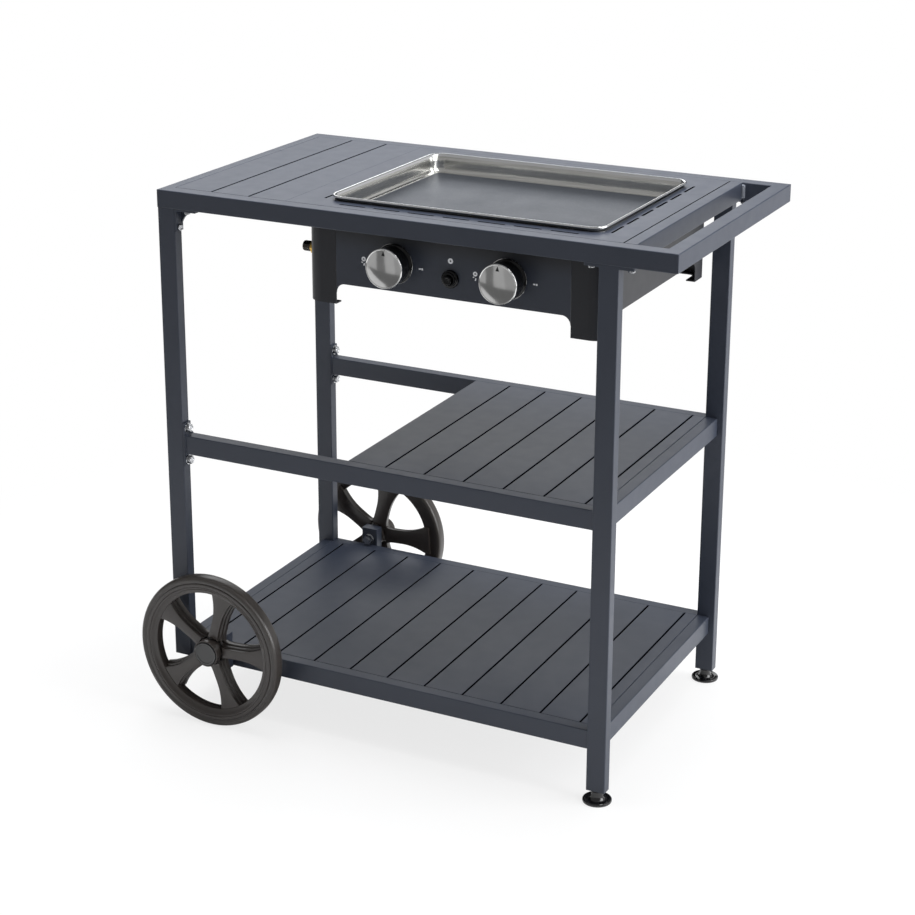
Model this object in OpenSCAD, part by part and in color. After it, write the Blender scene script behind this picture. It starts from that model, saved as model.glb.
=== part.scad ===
/* [Tabletop] */
// Width of the tabletop, from its left edge to the outer face of the push handle
top_w = 868; // [860:1:900]
// Depth of the tabletop
top_d = 495; // [489:1:540]
// Height of the tabletop's face above the ground
top_h = 880; // [868:1:930]
// Height of the tabletop's rails
frame_h = 28.5; // [26:0.5:32]
// Width of the front and back rails
rail_w = 25.5; // [24:0.5:30]
// Width of the left end rail
end_rail_w = 19; // [17:0.5:24]
// Width of the cross bar beside the hand opening
cross_bar_w = 21; // [18:0.5:22]
// Width of the hand opening
grip_w = 47; // [44:1:48]
// Width of the push handle's bar
handle_w = 25; // [23:0.5:28]
// Wall of the rails and legs
tube_wall = 1.5; // [1.2:0.1:2]
// Rounding of the tubes' long edges
edge_r = 1.5; // [0.8:0.1:2]
// Width of a tabletop slat; the one at the left end fills what is left
slat_w = 64.5; // [62:0.5:66]
// Number of tabletop slats
slat_count = 3; // [2:1:3]
// Thickness of the slats
slat_t = 14; // [10:0.5:20]
// Wall of the slats
slat_wall = 1.3; // [1:0.1:1.8]
// Gap between two slats
slat_gap = 3; // [2:0.5:4]
// Fine seam between the worktop's sheets
seam = 0.3; // [0.2:0.05:0.5]

/* [Legs] */
// Width of a leg along the front
leg_w = 31; // [28:0.5:34]
// Depth of a leg
leg_d = 19; // [18:0.5:22]
// Distance of the legs' outer faces from the tabletop's edges
leg_inset = 0.6; // [0.2:0.1:2]
// Distance of the right legs' left faces from the handle's outer face
right_leg_shift = 120; // [116:1:124]
// Thickness of the plates on the right legs
top_plate_t = 4.5; // [3:0.5:6]
// Width of the plates on the right legs
top_plate_w = 78; // [72:1:90]
// Radius of the tabletop's bolts
top_bolt_r = 3; // [2.5:0.25:4]
// Thickness of the corner brackets
bracket_t = 3; // [2.5:0.5:4]
// Reach of a corner bracket along the rail
bracket_reach = 38; // [36:1:44]
// Reach of a corner bracket down the leg
bracket_drop = 36; // [34:1:42]

/* [Shelves] */
// Height of the middle shelf's face
mid_shelf_h = 477.5; // [420:1:540]
// Height of the lower shelf's face
low_shelf_h = 119.5; // [116:0.5:121]
// Height of the shelves' rails
shelf_rail_h = 31.5; // [28:0.5:36]
// Width of the shelves' rails
shelf_rail_w = 20.5; // [19:0.5:24]
// Distance of the shelves' front from the tabletop's front
shelf_inset = 2; // [1.5:0.5:4]
// Width of a shelf slat
shelf_slat_w = 64.2; // [60:0.1:66]
// Width of the narrow slat at the shelves' right end
edge_slat_w = 20.3; // [16:0.1:24]
// Number of wide slats on the middle shelf
mid_slat_count = 6; // [3:1:6]
// Distance of the right side rails from the right legs' left faces
side_rail_shift = 0.7; // [0.5:0.1:3]
// Height of the bolted end plates
end_plate_h = 73; // [70:1:80]
// Thickness of the bolted end plates
end_plate_t = 3; // [2:0.5:4]
// Distance of the end plates' bolts from the rail's middle
end_bolt_shift = 27; // [25:0.5:27.5]
// Radius of the end plates' bolts
end_bolt_r = 4; // [3:0.25:4.5]

/* [Wheels] */
// Radius of a wheel
wheel_r = 130.3; // [126:0.1:132]
// Width of a tyre
wheel_w = 24; // [22:0.5:30]
// Thickness of a tyre
tyre_t = 11; // [9:0.5:14]
// Depth of the rim between its inside and the tyre
rim_t = 18; // [14:0.5:22]
// Number of spokes
spoke_count = 5; // [4:1:6]
// Width of a spoke at its waist
spoke_w = 17; // [14:0.5:20]
// Width of a spoke at the rim
spoke_flare_w = 40; // [30:1:48]
// Thickness of a spoke
spoke_t = 16; // [10:0.5:18]
// Setback of the spokes from the tyre's outer face
spoke_inset = 7.5; // [4:0.5:9]
// Radius of the hub
hub_r = 22.5; // [22.5:0.5:26]
// Stand of the hub proud of the tyre
hub_proud = 5.5; // [3:0.5:8]
// Distance from the tabletop's left edge to the axles
axle_x = 98.8; // [92:0.1:120]
// Radius of the axles
axle_r = 5; // [4:0.25:6]
// Radius of the hub caps
hub_cap_r = 19.8; // [17:0.1:21]
// Radial clearance of the turning parts
run_clear = 0.05; // [0.02:0.01:0.08]

/* [Feet] */
// Height of the right legs' ends above the ground
foot_h = 19.3; // [18:0.1:24]
// Radius of a foot
foot_r = 22.8; // [20:0.1:26]
// Radius of the foot's boss
foot_boss_r = 9; // [7:0.5:10]
// Radius of the threaded stud
stud_r = 4; // [3:0.5:5]
// Length of the threaded stud
stud_l = 50; // [44:1:70]
// Height of the leg plugs
plug_h = 20; // [14:1:30]

/* [Hob] */
// Distance from the hob surround's left edge to the hob's middle
hob_shift = 281.4; // [280.8:0.2:283]
// Distance from the housing's right side to the cross bar
hob_margin = 26.5; // [26:0.5:30]
// Distance of the housing's sides from the tray's rim
housing_margin = 20; // [17:0.5:24]
// Depth of the burner housing
housing_d = 423; // [414:1:426]
// Radius of the housing's corners
housing_r = 25; // [20:1:28]
// Thickness of the housing's and the surround's sheet
sheet_t = 1.5; // [1.2:0.1:2]
// Distance of the control panel's lower edge below the tabletop's face
panel_drop = 119.5; // [112:0.5:124]
// Distance of the housing's feet below the tabletop's face
post_drop = 152; // [140:1:165]
// Width of a housing corner
post_w = 53; // [44:1:56]
// Width of the turned-in edges below the housing corners
foot_edge_w = 15; // [13:0.5:18]
// Radius of the fillets beside the housing corners
post_fillet_r = 14; // [8:0.5:18]
// Height of the surround's turned-down edges
skirt_h = 24; // [16:1:26]
// Length of a vent slot
vent_l = 45; // [38:1:50]
// Width of a vent slot
vent_w = 4; // [3:0.5:5]
// Distance between two vent slots' middles
vent_pitch = 58.5; // [56:0.5:59]
// Number of vent slots along the front
vent_row_count = 7; // [5:1:7]
// Number of vent slots along a side
vent_side_count = 6; // [4:1:6]

/* [Griddle tray] */
// Width of the tray over its rim
tray_w = 456; // [450:1:458]
// Depth of the tray over its rim
tray_d = 359; // [350:1:362]
// Inside depth of the tray
tray_depth = 31.6; // [26:0.2:33]
// Height of the rim above the tabletop
tray_rise = 8; // [7:0.5:12]
// Thickness of the tray
tray_t = 2.5; // [2:0.1:3]
// Overhang of the rim
rim_over = 5; // [3:0.5:5.5]
// Height of the rim
rim_h = 3; // [2.5:0.5:6]
// Radius of the tray's corners
tray_r = 25; // [20:0.5:28]
// Radius between the tray's wall and its floor
tray_bottom_r = 9; // [6:0.5:10]
// Gap between the tray and the surround
tray_clear = 1.5; // [1:0.1:2]

/* [Gas] */
// Distance from one knob to the other
knob_pitch = 187.5; // [170:0.5:210]
// Distance of the knobs' axes below the tabletop's face
knob_drop = 76; // [74:0.5:80]
// Radius of a knob's face
knob_r = 31; // [28:0.5:32]
// Distance from the panel to the front of a knob
knob_stand = 37; // [34:0.5:42]
// Thickness of a knob's face
knob_face_t = 5; // [3:0.5:6]
// Travel of a knob when pressed
knob_travel = 3; // [2:0.5:4]
// Radius of a knob's bezel ring
bezel_r = 31; // [30:0.5:36]
// Thickness of a bezel ring
bezel_t = 5; // [3:0.5:6]
// Radius of the valve spindles
spindle_r = 3; // [2.5:0.25:3.5]
// Distance of the igniter's axis below the tabletop's face
igniter_drop = 88; // [84:0.5:94]
// Radius of the igniter's collar
igniter_r = 14; // [12:0.5:16]
// Radius of the igniter's button
button_r = 7; // [6:0.25:7.5]
// Distance from the panel to the igniter's tip
button_stand = 13; // [12:0.5:15]
// Travel of the igniter's button
button_travel = 5; // [3:0.5:6]
// Radius of the gas manifold
manifold_r = 8; // [7:0.5:9]
// Distance from the panel's front to the manifold's axis
manifold_y = 33; // [31:0.5:36]
// Radius of the gas inlet's thread
inlet_r = 8.3; // [7:0.1:9]
// Length of the gas inlet outside the housing
inlet_l = 21; // [18:1:28]
// Radius of a burner
burner_r = 13; // [11:0.5:14]
// Length of a burner
burner_l = 340; // [300:5:350]
// Number of flame ports along a burner
port_count = 16; // [8:1:24]

/* [Hidden] */

// Colours as they show on the object
frame_colour = [0.20, 0.22, 0.26];
shelf_colour = [0.24, 0.26, 0.30];
housing_colour = [0.11, 0.11, 0.12];
zinc_colour = [0.72, 0.73, 0.75];
steel_colour = [0.62, 0.62, 0.61];
wheel_colour = [0.17, 0.16, 0.155];
black_colour = [0.05, 0.05, 0.055];
brass_colour = [0.70, 0.55, 0.25];

// Clearance between a moving part and its neighbours, and sideways play of a bolt in its hole
move_gap = 0.3;
bolt_play = 0.2;

// The tabletop's frame
slat_edge_r = 0.8;
frame_z = top_h - frame_h;
inner_y0 = rail_w;
inner_y1 = top_d - rail_w;
cross_bar_x = top_w - handle_w - grip_w - cross_bar_w;

// The legs
right_leg_x = top_w - right_leg_shift;
left_leg_face = leg_inset + leg_w;
leg_back_face = leg_inset + leg_d;
right_leg_mid = right_leg_x + leg_w / 2;
right_leg_top = frame_z - top_plate_t;
top_plate_d = leg_d + 1;
plate_bolt_shift = top_plate_w / 2 - 8;
plate_bolt_y = leg_inset + top_plate_d / 2;
bracket_bolt_x = left_leg_face + bracket_reach / 2;
bracket_bolt_y = leg_inset + 7;
bracket_bolt_z = frame_z - bracket_drop + 6;
bracket_web_t = 4;
bolt_head_h = 4;
bolt_head_r = top_bolt_r + 2.5;
bolt_length = 16;
plain_plug_h = 12;
foot_floor = 3.4;

// The shelves
shelf_front = shelf_inset;
shelf_inner = shelf_inset + shelf_rail_w;
low_rail_z = low_shelf_h - shelf_rail_h;
mid_rail_z = mid_shelf_h - shelf_rail_h;
mid_rail_middle = mid_shelf_h - shelf_rail_h / 2;
mid_rail_x = left_leg_face + end_plate_t;
side_rail_x = right_leg_x + side_rail_shift;
shelf_pitch = shelf_slat_w + slat_gap;
mid_deck_x = side_rail_x - edge_slat_w - mid_slat_count * shelf_pitch;
washer_t = 1.5;
end_bolt_y = leg_inset + leg_d / 2;
end_bolt_head_h = 5.5;

// The wheels: each is drawn along its own axle, with the distance outwards from the tabletop's front edge
bracket_out = leg_d - shelf_inset;
spacer_t = 1.7;
hub_in = bracket_out + spacer_t + move_gap;
tyre_in = hub_in + 8.5;
tyre_out = tyre_in + wheel_w;
hub_out = tyre_out + hub_proud;
cap_proud = 1.5;
cap_t = 4.5;
cap_gap = 0.3;
cap_wall = 2.5;
axle_head_t = 4.5;
axle_head_r = axle_r + 4;
hub_floor = hub_out - cap_t - axle_head_t;
rim_r = wheel_r - tyre_t;
rim_inner_r = rim_r - rim_t;
spoke_out = tyre_out - spoke_inset;
spoke_waist_r = 45;
spoke_turn = 75;
nut_t = 8;
nut_r = axle_r + 4.2;
axle_tail = nut_t + washer_t + 2;
bracket_h = 62;

// The hob
housing_w = tray_w + 2 * housing_margin;
hob_x = cross_bar_x - hob_margin - housing_w / 2;
surround_x0 = hob_x - hob_shift;
surround_x1 = cross_bar_x - seam;
panel_y = rail_w + sheet_t;
hob_y = panel_y + housing_d / 2;
surround_z = top_h - sheet_t;
panel_z = top_h - panel_drop;
post_z = top_h - post_drop;
housing_x0 = hob_x - housing_w / 2;
housing_y1 = panel_y + housing_d;
panel_gap = 0.5;
flange_w = 12;
return_w = 8;
foot_edge_t = 2;
foot_hole_shift = 12;
foot_hole_r = 2.6;

// The tabletop's slats: the room between the end rail and the surround, and how many full slats it takes
deck_x = end_rail_w + seam;
deck_w = surround_x0 - seam - deck_x;
slat_pitch = slat_w + slat_gap;
slat_fit = min(slat_count, floor((deck_w + slat_gap) / slat_pitch + 0.01));
end_slat_w = deck_w - (slat_fit - 1) * slat_pitch;
vent_row_inset = 17;
vent_side_inset = 10.5;
vent_row = housing_d / 2 - vent_row_inset;
vent_side = housing_w / 2 - vent_side_inset;

// The tray
tray_top = top_h + tray_rise;
tray_floor = tray_top - tray_depth;
tray_under = tray_floor - tray_t;
wall_w = tray_w - 2 * rim_over;
wall_d = tray_d - 2 * rim_over;
wall_r = tray_r - rim_over;
support_w = 45;
support_l = 40;
support_t = 2;
support_flange_h = 18;
support_shift = 130;

// The gas parts
knob_z = top_h - knob_drop;
knob_front = panel_y - knob_stand;
knob_body_front = knob_front + knob_face_t;
knob_back = panel_y - bezel_t - knob_travel - 0.5;
knob_skirt_r = knob_r - 1.5;
knob_wall = 3;
knob_boss_r = spindle_r + 3;
spindle_front = knob_body_front + knob_wall + knob_travel + 2;
spindle_flat = spindle_r * 0.6;
spindle_flat_l = 15;
manifold_axis = panel_y + manifold_y;
manifold_x0 = housing_x0 + 9;
valve_w = 24;
valve_top = 26;
valve_bottom = 14;
spindle_end = manifold_axis - manifold_r - 7;
nozzle_rise = 19;
nozzle_z = knob_z + nozzle_rise;
nozzle_r = 4;
nozzle_l = 22;
manifold_x1 = hob_x + knob_pitch / 2 + valve_w / 2 + 8;
inlet_hex_r = inlet_r + 2.7;
inlet_hex_l = 7;
burner_y = manifold_axis + nozzle_l - 2;
burner_wall = 1.2;
burner_end = 2;
carrier_w = 15;
port_start = 40;
port_end = 20;
carrier_front_shift = 28;
carrier_back_shift = 45;
carrier_front_y = burner_y + carrier_front_shift;
carrier_back_y = burner_y + burner_l - carrier_back_shift;
carrier_z = nozzle_z - burner_r;
igniter_z = top_h - igniter_drop;
igniter_length = 23;
igniter_step = 3;
igniter_neck_r = button_r + 2;
electrode_r = 3;
electrode_shift = burner_r + 8;
lead_r = 1.25;
lead_spread = 4;

// Shared shapes

// Moves the object so that its base's middle is the origin
module place() {
    translate([(wheel_r - axle_x - top_w) / 2, -top_d / 2, 0])
        children();
}

// Copies a front piece to the back
module to_back() {
    translate([0, top_d, 0])
        mirror([0, 1, 0])
            children();
}

// Copies a left piece of the hob to its right
module to_hob_right() {
    translate([2 * hob_x, 0, 0])
        mirror([1, 0, 0])
            children();
}

// Rectangle with round corners, its lower left corner at the origin
module round_rect(w, h, r) {
    translate([r, 0])
        square([w - 2 * r, h]);
    translate([0, r])
        square([w, h - 2 * r]);
    for (x = [r, w - r], y = [r, h - r])
        translate([x, y])
            circle(r = r, $fn = 32);
}

// Section of a tube with round edges
module tube_section(w, h, wall = tube_wall, r = edge_r) {
    difference() {
        round_rect(w, h, r);
        translate([wall, wall])
            square([w - 2 * wall, h - 2 * wall]);
    }
}

// Tube along X, with its width along Y
module tube_x(x0, x1, y, z, w, h) {
    translate([x0, y, z])
        rotate([90, 0, 90])
            linear_extrude(x1 - x0)
                tube_section(w, h);
}

// Tube along Y, with its width along X
module tube_y(x, y0, y1, z, w, h, wall = tube_wall, r = edge_r) {
    translate([x, y1, z])
        rotate([90, 0, 0])
            linear_extrude(y1 - y0)
                tube_section(w, h, wall, r);
}

// Cylinder along X
module rod_x(x0, x1, y, z, r, sides = 48) {
    translate([x0, y, z])
        rotate([0, 90, 0])
            cylinder(h = x1 - x0, r = r, $fn = sides);
}

// Cylinder along Y
module rod_y(x, y0, y1, z, r, sides = 48) {
    translate([x, y0, z])
        rotate([-90, 0, 0])
            cylinder(h = y1 - y0, r = r, $fn = sides);
}

// Cylinder along Z
module rod_z(x, y, z0, z1, r, sides = 48) {
    translate([x, y, z0])
        cylinder(h = z1 - z0, r = r, $fn = sides);
}

// Plan of the whole frame, with its round outer corners, cut to a mitred piece
module mitre(points) {
    translate([0, 0, frame_z])
        linear_extrude(frame_h)
            intersection() {
                round_rect(top_w, top_d, edge_r);
                polygon(points);
            }
}

// Tabletop

module front_rail() {
    difference() {
        intersection() {
            tube_x(0, top_w, 0, frame_z, rail_w, frame_h);
            mitre([[0, 0], [top_w, 0], [top_w - handle_w, rail_w], [end_rail_w, rail_w]]);
        }
        for (side = [-1, 1])
            rod_z(right_leg_mid + side * plate_bolt_shift, plate_bolt_y, frame_z - 1,
                frame_z + tube_wall + 1, top_bolt_r + bolt_play);
        rod_z(bracket_bolt_x, bracket_bolt_y, frame_z - 1, frame_z + tube_wall + 1, top_bolt_r + bolt_play);
    }
}

module top_rail_front() {
    color(frame_colour)
        place()
            front_rail();
}

module top_rail_back() {
    color(frame_colour)
        place()
            to_back()
                front_rail();
}

module top_rail_left() {
    color(frame_colour)
        place()
            intersection() {
                tube_y(0, 0, top_d, frame_z, end_rail_w, frame_h);
                mitre([[0, 0], [end_rail_w, inner_y0], [end_rail_w, inner_y1], [0, top_d]]);
            }
}

module handle_bar() {
    handle_x = top_w - handle_w;
    color(frame_colour)
        place()
            intersection() {
                tube_y(handle_x, 0, top_d, frame_z, handle_w, frame_h);
                mitre([[top_w, 0], [top_w, top_d], [handle_x, inner_y1], [handle_x, inner_y0]]);
            }
}

module top_cross_bar() {
    color(frame_colour)
        place()
            tube_y(cross_bar_x, inner_y0, inner_y1, frame_z, cross_bar_w, frame_h);
}

module top_slats() {
    color(frame_colour)
        place()
            for (i = [0 : slat_fit - 1])
                tube_y(i == 0 ? deck_x : deck_x + end_slat_w + i * slat_pitch - slat_w, inner_y0, inner_y1,
                    top_h - slat_t, i == 0 ? end_slat_w : slat_w, slat_t, slat_wall, slat_edge_r);
}

// Slot with round ends through the surround, along X
module vent(x, y, turn) {
    straight = vent_l - vent_w;
    translate([x, y, surround_z - 1])
        rotate([0, 0, turn])
            linear_extrude(sheet_t + 2) {
                square([straight, vent_w], center = true);
                for (side = [-1, 1])
                    translate([side * straight / 2, 0])
                        circle(d = vent_w, $fn = 16);
            }
}

module hob_surround() {
    opening_w = wall_w + 2 * tray_clear;
    opening_d = wall_d + 2 * tray_clear;
    w = surround_x1 - surround_x0;
    d = inner_y1 - inner_y0;
    color(frame_colour)
        place()
            difference() {
                translate([surround_x0, inner_y0, top_h - skirt_h])
                    cube([w, d, skirt_h]);
                translate([surround_x0 + sheet_t, inner_y0 + sheet_t, top_h - skirt_h - 1])
                    cube([w - 2 * sheet_t, d - 2 * sheet_t, skirt_h - sheet_t + 1]);
                translate([hob_x - opening_w / 2, hob_y - opening_d / 2, surround_z - 1])
                    linear_extrude(sheet_t + 2)
                        round_rect(opening_w, opening_d, wall_r + tray_clear);
                for (i = [0 : vent_row_count - 1], side = [-1, 1])
                    vent(hob_x + (i - (vent_row_count - 1) / 2) * vent_pitch, hob_y + side * vent_row, 0);
                for (i = [0 : vent_side_count - 1], side = [-1, 1])
                    vent(hob_x + side * vent_side, hob_y + (i - (vent_side_count - 1) / 2) * vent_pitch, 90);
            }
}

// Legs and their fixings

// Leg tube between two heights, its left front corner at x
module leg(x, z0, z1) {
    translate([x, leg_inset, z0])
        linear_extrude(z1 - z0)
            tube_section(leg_w, leg_d);
}

module left_leg() {
    hole_x0 = left_leg_face - tube_wall - 1;
    difference() {
        leg(leg_inset, low_rail_z, frame_z);
        for (side = [-1, 1])
            rod_x(hole_x0, left_leg_face + 1, end_bolt_y, mid_rail_middle + side * end_bolt_shift,
                end_bolt_r + bolt_play);
        rod_x(hole_x0, left_leg_face + 1, bracket_bolt_y, bracket_bolt_z, top_bolt_r + bolt_play);
    }
}

module leg_front_left() {
    color(frame_colour)
        place()
            left_leg();
}

module leg_back_left() {
    color(frame_colour)
        place()
            to_back()
                left_leg();
}

module leg_front_right() {
    color(frame_colour)
        place()
            leg(right_leg_x, foot_h, right_leg_top);
}

module leg_back_right() {
    color(frame_colour)
        place()
            to_back()
                leg(right_leg_x, foot_h, right_leg_top);
}

module top_plate() {
    difference() {
        translate([right_leg_mid - top_plate_w / 2, leg_inset, right_leg_top])
            linear_extrude(top_plate_t)
                round_rect(top_plate_w, top_plate_d, 3);
        for (side = [-1, 1])
            rod_z(right_leg_mid + side * plate_bolt_shift, plate_bolt_y, right_leg_top - 1, frame_z + 1,
                top_bolt_r + bolt_play);
    }
}

module leg_top_plates() {
    color(frame_colour)
        place() {
            top_plate();
            to_back()
                top_plate();
        }
}

// Bracket between a left leg and the rail over it: two plates and a web with a hollow round edge
module corner_bracket() {
    web_x = bracket_reach - 4;
    web_z = bracket_drop - 12;
    run = web_x - bracket_t;
    fall = web_z - bracket_t;
    arc_r = (run * run + fall * fall) / (2 * fall);
    difference() {
        union() {
            translate([left_leg_face, leg_inset, frame_z - bracket_drop])
                cube([bracket_t, leg_d, bracket_drop]);
            translate([left_leg_face, leg_inset, frame_z - bracket_t])
                cube([bracket_reach, leg_d, bracket_t]);
            translate([left_leg_face, leg_back_face, frame_z - web_z])
                rotate([90, 0, 0])
                    linear_extrude(bracket_web_t)
                        difference() {
                            square([web_x, web_z]);
                            translate([web_x, fall - arc_r])
                                circle(r = arc_r, $fn = 96);
                        }
        }
        rod_z(bracket_bolt_x, bracket_bolt_y, frame_z - bracket_t - 1, frame_z + 1, top_bolt_r + bolt_play);
        rod_x(left_leg_face - 1, left_leg_face + bracket_t + 1, bracket_bolt_y, bracket_bolt_z,
            top_bolt_r + bolt_play);
    }
}

module corner_brackets() {
    color(frame_colour)
        place() {
            corner_bracket();
            to_back()
                corner_bracket();
        }
}

// Upright bolt with its head below z
module bolt_up(x, y, z) {
    rod_z(x, y, z - bolt_head_h, z, bolt_head_r);
    rod_z(x, y, z, z + bolt_length, top_bolt_r);
}

module front_top_bolts() {
    for (side = [-1, 1])
        bolt_up(right_leg_mid + side * plate_bolt_shift, plate_bolt_y, right_leg_top);
    bolt_up(bracket_bolt_x, bracket_bolt_y, frame_z - bracket_t);
    rod_x(left_leg_face + bracket_t, left_leg_face + bracket_t + bolt_head_h, bracket_bolt_y, bracket_bolt_z,
        bolt_head_r);
    rod_x(left_leg_face + bracket_t - bolt_length, left_leg_face + bracket_t, bracket_bolt_y, bracket_bolt_z,
        top_bolt_r);
}

module leg_top_bolts() {
    color(zinc_colour)
        place() {
            front_top_bolts();
            to_back()
                front_top_bolts();
        }
}

// Plug inside a leg's lower end
module leg_plug(x, z, h) {
    translate([x + tube_wall, leg_inset + tube_wall, z])
        cube([leg_w - 2 * tube_wall, leg_d - 2 * tube_wall, h]);
}

module front_leg_plugs() {
    leg_plug(leg_inset, low_rail_z, plain_plug_h);
    difference() {
        leg_plug(right_leg_x, foot_h, plug_h);
        rod_z(right_leg_mid, leg_inset + leg_d / 2, foot_h - 1, foot_h + plug_h + 1, stud_r + run_clear);
    }
}

module leg_plugs() {
    color(black_colour)
        place() {
            front_leg_plugs();
            to_back()
                front_leg_plugs();
        }
}

// Shelves

// Slats from front to back, counted from the right end, where a narrow one lies
module deck(x0, z) {
    last_x = side_rail_x - edge_slat_w;
    count = ceil((last_x - x0) / shelf_pitch - 0.01);
    tube_y(last_x, shelf_inner, top_d - shelf_inner, z - slat_t, edge_slat_w, slat_t, slat_wall, slat_edge_r);
    for (i = [1 : count]) {
        slat_x0 = max(x0, last_x - i * shelf_pitch);
        slat_x1 = last_x - i * shelf_pitch + shelf_slat_w;
        if (slat_x1 - slat_x0 > 4 * slat_wall)
            tube_y(slat_x0, shelf_inner, top_d - shelf_inner, z - slat_t, slat_x1 - slat_x0, slat_t,
                slat_wall, slat_edge_r);
    }
}

module mid_long_rail() {
    tube_x(mid_rail_x, right_leg_x, shelf_front, mid_rail_z, shelf_rail_w, shelf_rail_h);
}

module mid_rail_front() {
    color(frame_colour)
        place()
            mid_long_rail();
}

module mid_rail_back() {
    color(frame_colour)
        place()
            to_back()
                mid_long_rail();
}

// Side rail of a shelf between a front and a back leg
module side_rail(x, z) {
    tube_y(x, leg_back_face, top_d - leg_back_face, z, shelf_rail_w, shelf_rail_h);
}

module mid_rail_right() {
    color(frame_colour)
        place()
            side_rail(side_rail_x, mid_rail_z);
}

module mid_slats() {
    color(shelf_colour)
        place()
            deck(mid_deck_x, mid_shelf_h);
}

module end_plate() {
    difference() {
        translate([left_leg_face, leg_inset, mid_rail_middle - end_plate_h / 2])
            cube([end_plate_t, leg_d, end_plate_h]);
        for (side = [-1, 1])
            rod_x(left_leg_face - 1, mid_rail_x + 1, end_bolt_y, mid_rail_middle + side * end_bolt_shift,
                end_bolt_r + bolt_play);
    }
}

module mid_end_plates() {
    color(frame_colour)
        place() {
            end_plate();
            to_back()
                end_plate();
        }
}

module front_shelf_bolts() {
    for (side = [-1, 1]) {
        z = mid_rail_middle + side * end_bolt_shift;
        rod_x(mid_rail_x, mid_rail_x + washer_t, end_bolt_y, z, end_bolt_r + 4.5);
        rod_x(mid_rail_x + washer_t, mid_rail_x + washer_t + end_bolt_head_h, end_bolt_y, z,
            end_bolt_r + 3, 6);
        rod_x(left_leg_face - bolt_length / 2, mid_rail_x, end_bolt_y, z, end_bolt_r);
    }
}

module shelf_bolts() {
    color(zinc_colour)
        place() {
            front_shelf_bolts();
            to_back()
                front_shelf_bolts();
        }
}

module low_long_rail() {
    tube_x(left_leg_face, right_leg_x, shelf_front, low_rail_z, shelf_rail_w, shelf_rail_h);
}

module low_rail_front() {
    color(frame_colour)
        place()
            low_long_rail();
}

module low_rail_back() {
    color(frame_colour)
        place()
            to_back()
                low_long_rail();
}

module low_rail_left() {
    color(frame_colour)
        place()
            side_rail(left_leg_face - shelf_rail_w, low_rail_z);
}

module low_rail_right() {
    color(frame_colour)
        place()
            side_rail(side_rail_x, low_rail_z);
}

module low_slats() {
    color(shelf_colour)
        place()
            deck(left_leg_face, low_shelf_h);
}

// Axles and wheels

// Turns a wheel piece, drawn upwards, so that it stands out from the front
module on_axle() {
    translate([axle_x, 0, wheel_r])
        rotate([90, 0, 0])
            children();
}

module axle_bracket() {
    difference() {
        translate([axle_x - leg_w / 2, shelf_inset - leg_d, low_rail_z])
            linear_extrude(bracket_h)
                round_rect(leg_w, leg_d, edge_r);
        translate([axle_x - leg_w / 2 + tube_wall, shelf_inset - leg_d + tube_wall, low_rail_z - 1])
            cube([leg_w - 2 * tube_wall, leg_d - 2 * tube_wall, bracket_h - tube_wall + 1]);
        rod_y(axle_x, -bracket_out - 1, shelf_inset + 1, wheel_r, axle_r + bolt_play);
    }
}

module axle_brackets() {
    color(frame_colour)
        place() {
            axle_bracket();
            to_back()
                axle_bracket();
        }
}

module front_axle() {
    on_axle() {
        translate([0, 0, -shelf_inset - axle_tail])
            cylinder(h = hub_floor + move_gap + shelf_inset + axle_tail, r = axle_r, $fn = 48);
        translate([0, 0, hub_floor + move_gap])
            cylinder(h = axle_head_t - 2 * move_gap, r = axle_head_r, $fn = 48);
    }
}

module axles() {
    color(zinc_colour)
        place() {
            front_axle();
            to_back()
                front_axle();
        }
}

// Ring round the axle between two distances outwards
module axle_ring(z0, z1, r, sides = 48) {
    translate([0, 0, z0])
        difference() {
            cylinder(h = z1 - z0, r = r, $fn = sides);
            translate([0, 0, -1])
                cylinder(h = z1 - z0 + 2, r = axle_r, $fn = 48);
        }
}

module front_axle_nut() {
    nut_z = -shelf_inset - washer_t;
    on_axle() {
        axle_ring(nut_z, -shelf_inset, nut_r + 0.6);
        axle_ring(nut_z - nut_t, nut_z, nut_r, 6);
        axle_ring(bracket_out, bracket_out + spacer_t, axle_r + 4);
    }
}

module axle_nuts() {
    color(zinc_colour)
        place() {
            front_axle_nut();
            to_back()
                front_axle_nut();
        }
}

// Half the width of a spoke at a distance from the axle
function spoke_half(r) =
    let (t = max(0, r - spoke_waist_r) / (rim_inner_r - spoke_waist_r))
        spoke_w / 2 + (spoke_flare_w - spoke_w) / 2 * t * t;

module spoke() {
    steps = 10;
    r0 = hub_r - 3;
    r1 = rim_inner_r + 1.5;
    radii = [for (i = [0 : steps]) r0 + (r1 - r0) * i / steps];
    linear_extrude(spoke_t)
        polygon(concat(
            [for (r = radii) [r, -spoke_half(r)]],
            [for (i = [steps : -1 : 0]) [radii[i], spoke_half(radii[i])]]
        ));
}

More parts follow.
